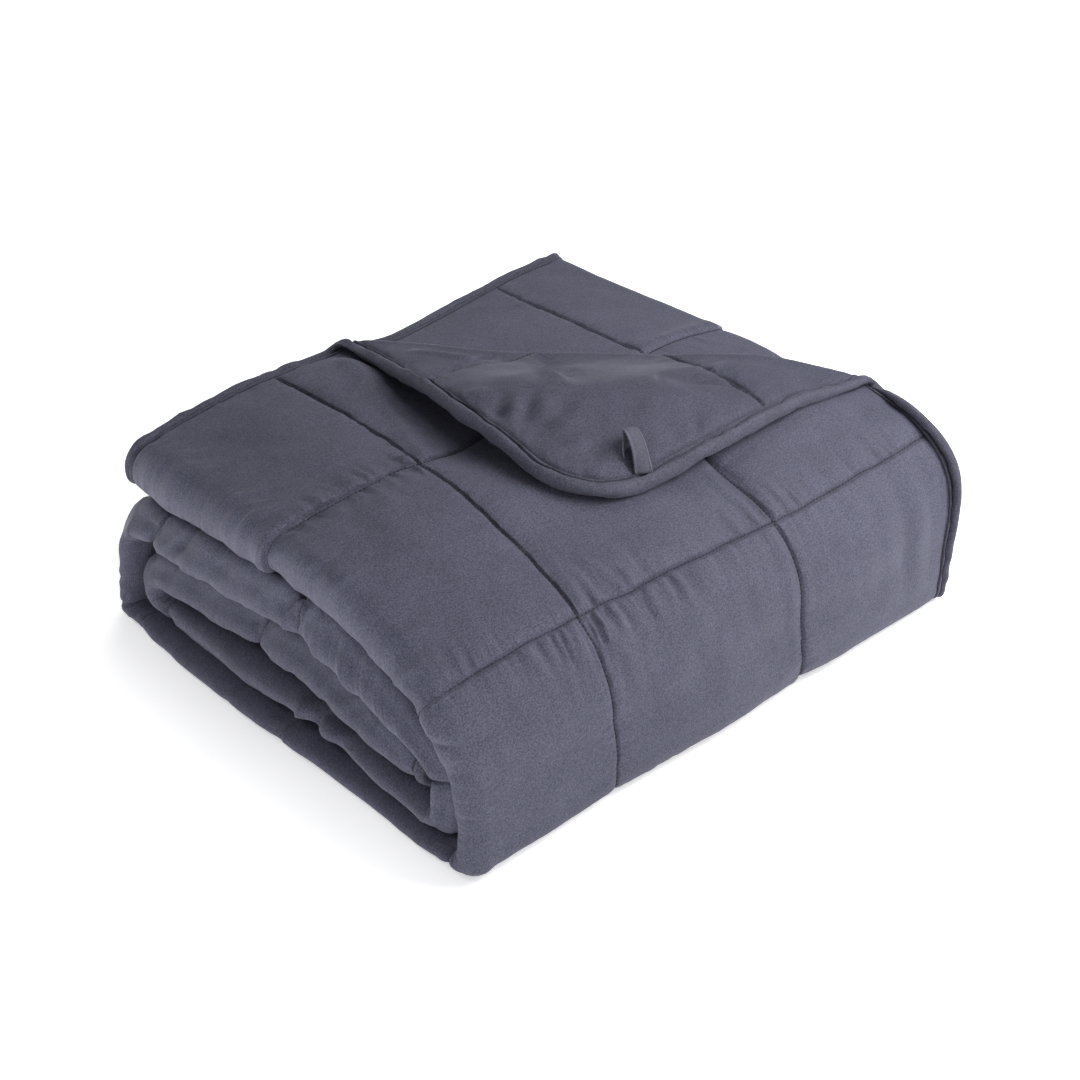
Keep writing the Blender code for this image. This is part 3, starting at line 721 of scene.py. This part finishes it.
# ---- bound edge ------------------------------------------------------------------------------------------------------
def make_binding():
    """A strip folded round the edge: its section is a thin U with a stitched ditch near its two inner edges."""
    us, ss = rim_lines()
    rim = outline(BIND_W / 2, us, ss)
    n = len(rim)
    # (out from the middle of the band, through the cloth) in metres, round the outside, then back round the inside
    outside = [
        (-0.00445, 0.00150),
        (-0.00440, 0.00245),
        (-0.00385, 0.00285),
        (-0.00315, 0.00255),
        (-0.00285, 0.00040),
        (-0.00200, 0.00035),
        (-0.00165, 0.00210),
        (-0.00060, 0.00335),
        (0.00110, 0.00370),
        (0.00265, 0.00310),
        (0.00385, 0.00170),
        (0.00425, 0.00000),
    ]
    section = outside + [(a, -b) for a, b in reversed(outside[:-1])]
    inside = [(-0.00290, 0.0), (-0.00315, 0.00095), (-0.00440, 0.00135)]
    section += [(a, -b) for a, b in reversed(inside[1:])] + inside
    section = np.array(section)
    m = len(section)
    run = np.concatenate([[0], np.cumsum(np.linalg.norm(np.diff(rim[:, :2], axis=0), axis=1))])
    total = run[-1] + np.linalg.norm(rim[0, :2] - rim[-1, :2])
    turn = run / total * 2 * np.pi
    radius = total / (2 * np.pi)
    cx, cy = radius * np.cos(turn), radius * np.sin(turn)
    fat = 1 + 0.16 * noise(cx / 0.013, cy / 0.013, 41) + 0.14 * noise(cx / 0.006, cy / 0.006, 42)
    wide = 0.00045 * noise(cx / 0.018, cy / 0.018, 43)
    ditch = 0.00090 * noise(cx / 0.007, cy / 0.007, 45) + 0.00060 * noise(cx / 0.0034, cy / 0.0034, 46)
    sway = 0.00040 * noise(cx / 0.014, cy / 0.014, 44)
    rows = []
    for a, b in section:
        roll = step((a + 0.0012) / 0.003)
        o = a + roll * wide + (1 - roll) * step((a + 0.0042) / 0.001) * ditch
        puff = 1 + (fat - 1) * (0.25 + 0.75 * roll)
        rows.append(shape(rim[:, 0] + rim[:, 2] * o, rim[:, 1] + rim[:, 3] * o, b * puff + sway * roll))
    points = np.stack(rows, 1).reshape(-1, 3)
    k = np.arange(n)[:, None] * m
    j = np.roll(np.arange(n), -1)[:, None] * m
    i = np.arange(m)[None]
    h = np.roll(np.arange(m), -1)[None]
    quads = np.stack([k + i, j + i, j + h, k + h], -1).reshape(-1, 4)
    a, b, c, d = (points[quads[:, q]] for q in range(4))
    if (a * (np.cross(b, c) + np.cross(c, d))).sum() < 0:
        quads = quads[:, ::-1]
    seam = np.concatenate([[0], np.cumsum(np.linalg.norm(np.diff(section, axis=0), axis=1))])
    cloth = np.stack([np.repeat(run, m), np.tile(seam, n)], 1)
    print("binding", len(points), "points", 2 * len(quads), "triangles")
    return build_mesh("edge_binding", points, quads, cloth)


# ---- stitches --------------------------------------------------------------------------------------------------------
def run_of_stitches(u, s, w, pitch, length, radius, bury=0.00035):
    """Short lengths of thread along a line of cloth points (arrays), lying on it at height w."""
    line = shape(u, s, w)
    over = shape(u, s, w + np.sign(w + 1e-9) * 0.001) - line
    over /= np.linalg.norm(over, axis=1)[:, None]
    gaps = np.linalg.norm(np.diff(line, axis=0), axis=1)
    at = np.concatenate([[0], np.cumsum(gaps)])
    count = int(at[-1] // pitch)
    if count < 1:
        return np.zeros((0, 3)), np.zeros((0, 4), int)
    starts = (np.arange(count) + 0.5) * pitch
    heights = np.array([-bury, 0.5 * radius, 0.5 * radius, -bury])
    spots = np.array([-0.5, -0.32, 0.32, 0.5]) * length
    t = starts[:, None] + spots
    p = np.stack([np.interp(t, at, line[:, k]) for k in range(3)], -1)
    nrm = np.stack([np.interp(t, at, over[:, k]) for k in range(3)], -1)
    tan = np.gradient(p, axis=1)
    tan /= np.linalg.norm(tan, axis=2)[..., None]
    sidew = np.cross(tan, nrm)
    sidew /= np.linalg.norm(sidew, axis=2)[..., None]
    p = p + nrm * heights[None, :, None]
    ring = []
    for k in range(4):
        a = math.pi / 4 + math.pi / 2 * k
        ring.append(p + radius * (math.cos(a) * sidew + math.sin(a) * nrm))
    pts = np.stack(ring, 2)  # stitch, spot, corner
    base = np.arange(count)[:, None] * 16
    quads = []
    for spot in range(3):
        for k in range(4):
            h = (k + 1) % 4
            quads.append(base + np.array([spot * 4 + k, spot * 4 + h, spot * 4 + 4 + h, spot * 4 + 4 + k]))
    quads.append(base + np.array([3, 2, 1, 0]))
    quads.append(base + np.array([12, 13, 14, 15]))
    return pts.reshape(-1, 3), np.concatenate(quads)


def make_stitches():
    parts = []

    def seam(u, s, side, pitch=0.0028, length=0.0016, radius=0.00036):
        u, s = np.broadcast_arrays(np.asarray(u, float), np.asarray(s, float))
        keep = edge_distance(u, s, BIND_W) > 0.0005
        if keep.sum() < 4:
            return
        u, s = u[keep], s[keep]
        parts.append(run_of_stitches(u, s, side * (rise(u, s, side) + 0.00025), pitch, length, radius))

    fine = np.arange(0.0, 2.0, 0.0014)
    # the outer face: where the bundle shows it
    for v in SEAM_U[:3]:
        s = fine[fine < LENGTH]
        if v < 0.4:
            low = s[(past_crease(v, s) < 0.3 * TURNED) & (s < 0.47)]
            seam(v, low, 1)
            seam(v, s[(s > 0.68) & (s < 0.81)], 1)
    for k, v in enumerate(SEAM_S):
        u = fine[fine < WIDTH]
        if v < 0.47:
            seam(u[(past_crease(u, v) < 0.3 * TURNED) & (u < 0.402)], v, 1)
            seam(u[(u >= 0.402) & (u < 0.445)], v, 1, radius=0.00018)
        else:
            seam(u[(u > 0.385) & (u < 0.445)], v, 1, radius=0.00015)
        seam(u[(u > 0.796) & (u < (1.15 if k == 0 else 0.836))], v, 1)
    for v in SEAM_U[5:7]:
        seam(v, fine[fine < 0.24], 1)
    # the back face: on the turned-back corner
    for v in SEAM_U[:1]:
        s = fine[fine < 0.3]
        seam(v, s[past_crease(v, s) > 0.5 * TURNED], -1)
    for v in SEAM_S[:1]:
        u = fine[fine < 0.3]
        seam(u[past_crease(u, v) > 0.5 * TURNED], v, -1)
    # along the inner edges of the binding, on both faces
    us, ss = rim_lines()
    rim = outline(BIND_W / 2 + 0.00245, us, ss)
    near = (rim[:, 1] < 0.02) | (rim[:, 0] < 0.02)
    for side in (1, -1):
        run = rim[near]
        order = np.argsort(np.where(run[:, 0] > run[:, 1], run[:, 0], -run[:, 1]), kind="stable")
        run = run[order]
        parts.append(
            run_of_stitches(run[:, 0], run[:, 1], np.full(len(run), side * 0.00085), 0.0029, 0.0024, 0.00040)
        )
    points, quads, n = [], [], 0
    for p, q in parts:
        points.append(p)
        quads.append(q + n)
        n += len(p)
    points, quads = np.concatenate(points), np.concatenate(quads)
    # none reaches below the surface that the blanket lies on
    each = points.reshape(-1, 16, 3)
    each[:, :, 2] += np.clip(0.0001 - each[:, :, 2].min(axis=1), 0, None)[:, None]
    print("stitches", len(points) // 16, "with", 2 * len(quads), "triangles")
    return build_mesh("seam_stitches", points, quads, points[:, :2])


# ---- tape loop -------------------------------------------------------------------------------------------------------
def make_loop():
    """A length of hemmed tape doubled over and stood on its two sewn-in ends, its near leg bowed out and twisted."""
    foot = np.array([0.0051, -0.0936, 0.1347])
    a, e = math.radians(AZIMUTH), math.radians(ELEVATION)
    right = np.array([math.cos(a), math.sin(a), 0.0])
    front = np.array([math.sin(a) * math.cos(e), -math.cos(a) * math.cos(e), math.sin(e)])
    up = np.cross(front, right)
    axes = np.stack([right, up, front])
    # one edge of the tape from foot to foot, and from that edge across the tape: mm to the right, up and to the front
    rows = np.array(
        [
            (-5.8, -6.4, 1.6, 10.0, 1.0, -6.5),
            (-5.6, -4.0, 0.9, 9.4, 1.0, -7.2),
            (-6.2, 3.5, -0.9, 7.4, 0.7, -9.2),
            (-6.8, 10.0, -1.7, 6.4, 0.5, -10.1),
            (-7.5, 17.0, -1.5, 7.0, 1.0, -9.7),
            (-7.6, 23.2, -0.4, 7.8, 2.0, -8.9),
            (-7.6, 25.8, 1.4, 8.2, 2.3, -8.5),
            (-6.2, 24.6, 3.3, 8.4, 2.2, -8.3),
            (-3.2, 19.4, 4.7, 8.8, 1.6, -8.0),
            (-1.2, 12.4, 5.1, 9.3, 1.2, -7.5),
            (-0.5, 6.0, 4.6, 10.1, 1.2, -6.3),
            (0.0, 0.3, 3.2, 11.0, 1.2, -4.6),
            (0.1, -1.8, 2.2, 11.1, 1.2, -4.4),
        ]
    )
    knots = np.concatenate([[0], np.cumsum(np.linalg.norm(np.diff(rows[:, :3], axis=0), axis=1))])
    fine = np.linspace(0, knots[-1], 120)
    curve = np.stack([np.interp(fine, knots, rows[:, k]) for k in range(6)], 1)
    for _ in range(30):
        curve[1:-1] = 0.5 * curve[1:-1] + 0.25 * (curve[:-2] + curve[2:])
    at = np.concatenate([[0], np.cumsum(np.linalg.norm(np.diff(curve[:, :3], axis=0), axis=1))])
    n = 60
    even = np.linspace(0, at[-1], n)
    curve = np.stack([np.interp(even, at, curve[:, k]) for k in range(6)], 1)
    line = foot + 0.001 * curve[:, :3] @ axes
    wide = curve[:, 3:] @ axes
    wide *= 0.0120 / np.linalg.norm(wide, axis=1)[:, None]
    even = even * 0.001
    tang = np.gradient(line, axis=0)
    tang /= np.linalg.norm(tang, axis=1)[:, None]
    out = np.cross(tang, wide)
    out /= np.linalg.norm(out, axis=1)[:, None]
    if (out[n // 2] @ [0, 0, 1]) < 0:
        out = -out
    across = np.concatenate([[0.0, 0.015, 0.05, 0.13, 0.155, 0.18], np.linspace(0.26, 0.74, 7), [0.82, 0.845, 0.87, 0.95, 0.985, 1.0]])
    half = np.interp(across, [0, 0.015, 0.05, 0.13, 0.155, 0.18, 0.5, 0.82, 0.845, 0.87, 0.95, 0.985, 1], [0.00018, 0.00050, 0.00065, 0.00062, 0.00030, 0.00040, 0.00042, 0.00040, 0.00030, 0.00062, 0.00065, 0.00050, 0.00018])
    cup = 0.0007 * (np.abs(2 * across - 1) ** 2.0)
    ripple = 0.00022 * noise(even[:, None] / 0.006, across[None] * 2.1, 61)
    mid = line[:, None] + wide[:, None] * across[None, :, None] + out[:, None] * (cup[None] * -0.8 + ripple)[..., None]
    upper = mid + out[:, None] * half[None, :, None]
    lower = mid - out[:, None] * half[None, :, None]
    pts = np.concatenate([upper, lower[:, ::-1]], 1)
    m = pts.shape[1]
    k = np.arange(n - 1)[:, None] * m
    i = np.arange(m)[None]
    h = np.roll(np.arange(m), -1)[None]
    quads = np.stack([k + i, k + m + i, k + m + h, k + h], -1).reshape(-1, 4)
    faces = [tuple(q) for q in quads]
    c = len(across)
    for row, flip in ((0, False), (n - 1, True)):
        for q in range(c - 1):
            face = (row * m + q, row * m + q + 1, row * m + 2 * c - 2 - q, row * m + 2 * c - 1 - q)
            faces.append(face[::-1] if flip else face)
    points = pts.reshape(-1, 3)
    centre = points.mean(0)
    total = 0.0
    for face in faces:
        a, b, cc, d = (points[q] - centre for q in face)
        total += a @ np.cross(b, cc) + a @ np.cross(cc, d)
    if total < 0:
        faces = [tuple(reversed(face)) for face in faces]
    cloth = np.stack([np.repeat(even, m), np.tile(np.concatenate([across, across[::-1]]) * 0.012, n)], 1)
    return build_mesh("corner_tape_loop", points, faces, cloth)


# ---- materials -------------------------------------------------------------------------------------------------------
def fabric(name, colour, light, speckle, sheen, weave, bump, gathers_and_seam_shade=0.0, edge_highlight=0.0, ditch_shade=()):
    """Brushed woven cloth: a fine heather of two tones, soft mottling, a nap with sheen, and the weave as bump; where
    asked, painted shade along sewn lines and stitched ditches and a painted highlight on hemmed edges.
    """
    material = bpy.data.materials.new(name)
    material.use_nodes = True
    tree = material.node_tree
    tree.nodes.clear()
    new, link = tree.nodes.new, tree.links.new
    out = new("ShaderNodeOutputMaterial")
    shader = new("ShaderNodeBsdfPrincipled")
    link(shader.outputs[0], out.inputs[0])
    place_ = new("ShaderNodeTexCoord")
    cloth = new("ShaderNodeUVMap")
    cloth.uv_map = "cloth"

    def grain(scale, detail, source, roughness=0.5):
        node = new("ShaderNodeTexNoise")
        node.inputs["Scale"].default_value = scale
        node.inputs["Detail"].default_value = detail
        node.inputs["Roughness"].default_value = roughness
        link(source, node.inputs["Vector"])
        return node.outputs["Fac"]

    def ramp(source, low, high, dark, bright):
        node = new("ShaderNodeMapRange")
        node.inputs["From Min"].default_value = low
        node.inputs["From Max"].default_value = high
        node.inputs["To Min"].default_value = dark
        node.inputs["To Max"].default_value = bright
        link(source, node.inputs["Value"])
        return node.outputs["Result"]

    def times(a, b):
        node = new("ShaderNodeMath")
        node.operation = "MULTIPLY"
        link(a, node.inputs[0])
        if isinstance(b, float):
            node.inputs[1].default_value = b
        else:
            link(b, node.inputs[1])
        return node.outputs[0]

    def plus(a, b):
        node = new("ShaderNodeMath")
        node.operation = "ADD"
        link(a, node.inputs[0])
        link(b, node.inputs[1])
        return node.outputs[0]

    where = place_.outputs["Object"]
    fine = ramp(grain(1100.0, 1.5, where), 0.36, 0.64, 1 - speckle, 1 + speckle)
    mid = ramp(grain(230.0, 2.0, where), 0.3, 0.7, 0.975, 1.025)
    broad = ramp(grain(26.0, 2.0, where), 0.3, 0.7, 0.955, 1.045)
    tone = times(times(fine, mid), broad)
    if edge_highlight:  # painted highlight: the tape's two hemmed edges are painted paler, where light catches them
        split = new("ShaderNodeSeparateXYZ")
        link(cloth.outputs["UV"], split.inputs[0])
        for low, high in ((0.0006, 0.0014), (0.0114, 0.0106)):
            tone = times(tone, ramp(split.outputs["Y"], low, high, edge_highlight, 1.0))
    for middle, half in ditch_shade:  # painted shade: the strip's colour is darkened where it is sewn down, along each ditch given by its middle and half width across it in metres
        across = new("ShaderNodeSeparateXYZ")
        link(cloth.outputs["UV"], across.inputs[0])
        off = new("ShaderNodeMath")
        off.operation = "SUBTRACT"
        link(across.outputs["Y"], off.inputs[0])
        off.inputs[1].default_value = middle
        away = new("ShaderNodeMath")
        away.operation = "ABSOLUTE"
        link(off.outputs[0], away.inputs[0])
        tone = times(tone, ramp(away.outputs[0], 0.35 * half, half, 0.42, 1.0))
    if gathers_and_seam_shade:  # painted shade: the cloth's colour is darkened within about a millimetre of its sewn lines, for the shade in the pinched seam
        for gap in ("gap_u", "gap_s"):
            away = new("ShaderNodeAttribute")
            away.attribute_name = gap
            tone = times(tone, ramp(away.outputs["Fac"], 0.0002, 0.0011, 0.86, 1.0))
    mix = new("ShaderNodeMix")
    mix.data_type = "RGBA"
    mix.blend_type = "MIX"
    mix.inputs[6].default_value = (*colour, 1)
    mix.inputs[7].default_value = (*light, 1)
    link(ramp(grain(60.0, 3.0, where), 0.35, 0.65, 0.0, 1.0), mix.inputs[0])
    scale = new("ShaderNodeVectorMath")
    scale.operation = "SCALE"
    link(mix.outputs[2], scale.inputs[0])
    link(tone, scale.inputs[3])
    link(scale.outputs[0], shader.inputs["Base Color"])
    # weave: two crossed sets of threads
    threads = []
    for axis in "XY":
        wave = new("ShaderNodeTexWave")
        wave.wave_type = "BANDS"
        wave.bands_direction = axis
        wave.inputs["Scale"].default_value = weave
        wave.inputs["Distortion"].default_value = 1.2
        wave.inputs["Detail"].default_value = 1.0
        wave.inputs["Detail Scale"].default_value = 0.6
        link(cloth.outputs["UV"], wave.inputs["Vector"])
        threads.append(wave.outputs["Fac"])
    height = plus(times(times(threads[0], threads[1]), 0.5), times(grain(900.0, 2.0, where), 0.9))
    rough = new("ShaderNodeBump")
    rough.inputs["Strength"].default_value = bump
    rough.inputs["Distance"].default_value = 0.00022
    link(height, rough.inputs["Height"])
    soft = new("ShaderNodeBump")
    soft.inputs["Strength"].default_value = 0.5
    soft.inputs["Distance"].default_value = 0.0005
    link(grain(150.0, 2.0, where), soft.inputs["Height"])
    link(soft.outputs[0], rough.inputs["Normal"])
    last = soft
    # fine gathers square to the sewn lines, dying away from them
    for gap, stretch in (("gap_u", (38.0, 250.0, 1.0)), ("gap_s", (250.0, 38.0, 1.0)), ("gap_fold", (40.0, 170.0, 1.0))):
        if not gathers_and_seam_shade:
            break
        away = new("ShaderNodeAttribute")
        away.attribute_name = gap
        mapping = new("ShaderNodeMapping")
        mapping.inputs["Scale"].default_value = stretch
        link(cloth.outputs["UV"], mapping.inputs["Vector"])
        fold = grain(1.0, 1.0, mapping.outputs[0])
        fade = ramp(away.outputs["Fac"], 0.0, 0.022, 1.0, 0.0)
        start = ramp(away.outputs["Fac"], 0.0004, 0.0020, 0.0, 1.0)
        gather = new("ShaderNodeBump")
        gather.inputs["Strength"].default_value = 1.0
        gather.inputs["Distance"].default_value = gathers_and_seam_shade
        link(times(times(fold, times(fade, fade)), start), gather.inputs["Height"])
        link(gather.outputs[0], last.inputs["Normal"])
        last = gather
    link(rough.outputs[0], shader.inputs["Normal"])
    shader.inputs["Roughness"].default_value = 0.70
    shader.inputs["Specular IOR Level"].default_value = 0.46
    shader.inputs["Specular Tint"].default_value = (0.86, 0.86, 1.0, 1)
    shader.inputs["Sheen Weight"].default_value = sheen
    shader.inputs["Sheen Roughness"].default_value = 0.45
    shader.inputs["Sheen Tint"].default_value = (0.80, 0.82, 1.0, 1)
    return material


def plain(name, colour, roughness):
    material = bpy.data.materials.new(name)
    material.use_nodes = True
    shader = material.node_tree.nodes["Principled BSDF"]
    shader.inputs["Base Color"].default_value = (*colour, 1)
    shader.inputs["Roughness"].default_value = roughness
    return material


# ---- stage -----------------------------------------------------------------------------------------------------------
AZIMUTH, ELEVATION, DISTANCE = -40.5697, 33.8471, 1.1648
TARGET = Vector((-0.0203 - SHIFT[0], -0.0047 - SHIFT[1], 0.06))


def make_camera():
    a, e = math.radians(AZIMUTH), math.radians(ELEVATION)
    back = Vector((math.sin(a) * math.cos(e), -math.cos(a) * math.cos(e), math.sin(e)))
    data = bpy.data.cameras.new("camera")
    data.sensor_width = 36.0
    data.lens = 36.0 * 1859.7 / 1080.0
    data.clip_start, data.clip_end = 0.05, 50.0
    camera = bpy.data.objects.new("camera", data)
    bpy.context.scene.collection.objects.link(camera)
    camera.location = TARGET + back * DISTANCE
    camera.rotation_mode = "QUATERNION"
    camera.rotation_quaternion = back.to_track_quat("Z", "Y")
    bpy.context.scene.camera = camera


def area_light(name, place_at, aim, size, power, colour):
    data = bpy.data.lights.new(name, "AREA")
    data.shape = "DISK"
    data.size = size
    data.energy = power
    data.color = colour
    light = bpy.data.objects.new(name, data)
    bpy.context.scene.collection.objects.link(light)
    light.location = place_at
    light.rotation_mode = "QUATERNION"
    light.rotation_quaternion = (Vector(place_at) - Vector(aim)).to_track_quat("Z", "Y")
    return light


def make_world():
    """A studio that is pale near the horizon and dimmer overhead."""
    world = bpy.data.worlds.new("studio")
    bpy.context.scene.world = world
    world.use_nodes = True
    tree = world.node_tree
    background = tree.nodes["Background"]
    where = tree.nodes.new("ShaderNodeTexCoord")
    split = tree.nodes.new("ShaderNodeSeparateXYZ")
    up = tree.nodes.new("ShaderNodeMapRange")
    up.interpolation_type = "SMOOTHSTEP"
    up.inputs["From Min"].default_value = 0.10
    up.inputs["From Max"].default_value = 0.42
    up.inputs["To Min"].default_value = 0.68
    up.inputs["To Max"].default_value = 0.12
    tree.links.new(where.outputs["Generated"], split.inputs[0])
    tree.links.new(split.outputs["Z"], up.inputs["Value"])
    tree.links.new(up.outputs["Result"], background.inputs["Strength"])
    background.inputs["Color"].default_value = (1.0, 1.0, 1.0, 1)


def make_stage():
    size = 14.0
    points = [(-size, -size, -0.0004), (size, -size, -0.0004), (size, size, -0.0004), (-size, size, -0.0004)]
    floor = build_mesh("floor", points, np.array([[0, 1, 2, 3]]), smooth=False)
    paper = plain("floor_paper", (0.90, 0.90, 0.905), 0.85)
    glow = paper.node_tree.nodes["Principled BSDF"]
    glow.inputs["Emission Color"].default_value = (1.0, 1.0, 1.0, 1)
    # painted light: the floor glows, paler with distance, so that the pools of light have no edge
    tree = paper.node_tree
    where = tree.nodes.new("ShaderNodeTexCoord")
    far = tree.nodes.new("ShaderNodeVectorMath")
    far.operation = "LENGTH"
    rising = tree.nodes.new("ShaderNodeMapRange")
    rising.inputs["From Min"].default_value = 0.8
    rising.inputs["From Max"].default_value = 1.8
    rising.inputs["To Min"].default_value = 0.50
    rising.inputs["To Max"].default_value = 0.86
    tree.links.new(where.outputs["Object"], far.inputs[0])
    tree.links.new(far.outputs["Value"], rising.inputs["Value"])
    tree.links.new(rising.outputs["Result"], glow.inputs["Emission Strength"])
    floor.data.materials.append(paper)
    make_world()
    area_light("key", (0.42, -0.44, 0.62), (0, 0, 0.08), 0.50, 7.0, (1.0, 0.995, 0.985))
    area_light("top", (0.26, 0.34, 1.12), (0, 0, 0.08), 0.55, 4.2, (1.0, 1.0, 1.0))
    area_light("fill", (-0.20, -0.80, 1.20), (0, 0, 0.08), 0.80, 1.6, (0.97, 0.98, 1.0))
    area_light("side", (-1.0, -0.48, 0.12), (0, 0, 0.02), 0.30, 2.2, (0.98, 0.99, 1.0))
    for k, (x, y) in enumerate(((-0.80, 0.75), (0.20, 1.15), (0.95, 0.80), (1.05, 0.0), (0.2, -1.2), (-0.97, -0.22), (-0.85, -1.05))):
        light = area_light(f"paper_{k}", (x, y, 0.9), (x, y, 0.0), 0.70, 16.0 if k < 5 else 11.0, (1.0, 1.0, 1.0))
        light.data.spread = math.radians(70)
    settings = bpy.context.scene.view_settings
    settings.view_transform = "Standard"
    settings.look = "None"
    settings.exposure = 0.0
    settings.gamma = 1.0


# ---- build -----------------------------------------------------------------------------------------------------------
make_camera()
make_stage()

# for the cloth and its reverse, the last number is the depth of the gathers' bump, and also turns on the painted shade
# along the sewn lines
cloth_material = fabric("brushed_cloth", (0.0582, 0.0588, 0.0875), (0.0646, 0.0652, 0.0970), 0.36, 0.10, 420.0, 0.9, 0.0017)
# the reverse face, seen on the turned-back corner, has a darker copy of the outer cloth's colours
back_material = fabric("brushed_cloth_reverse", (0.0422, 0.0427, 0.0655), (0.0477, 0.0483, 0.0730), 0.36, 0.10, 420.0, 0.9, 0.0014)
# the binding gets painted shade along its two stitched ditches
binding_material = fabric(
    "binding_cloth", (0.0462, 0.0466, 0.0680), (0.0535, 0.0540, 0.0780), 0.36, 0.10, 420.0, 0.9, ditch_shade=((0.0050, 0.0023), (0.0266, 0.0023))
)
# the last number, 1.7, is the painted highlight on the tape's two hemmed edges
tape_material = fabric("tape_cloth", (0.047, 0.0475, 0.066), (0.059, 0.0597, 0.081), 0.25, 0.10, 600.0, 0.9, 0.0, 1.7)
thread_material = fabric("thread", (0.016, 0.016, 0.022), (0.022, 0.022, 0.030), 0.10, 0.0, 900.0, 0.3)

body = make_body()
body.data.materials.append(cloth_material)
body.data.materials.append(back_material)
binding = make_binding()
binding.data.materials.append(binding_material)
stitches = make_stitches()
stitches.data.materials.append(thread_material)
loop = make_loop()
loop.data.materials.append(tape_material)

for piece, node, slot in (
    (body, "blanket", "quilted_cloth"),
    (binding, "binding", "edge_binding"),
    (loop, "corner_loop", "loop_tape"),
):
    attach(piece, "root")
    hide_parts(node)
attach(stitches, "root")
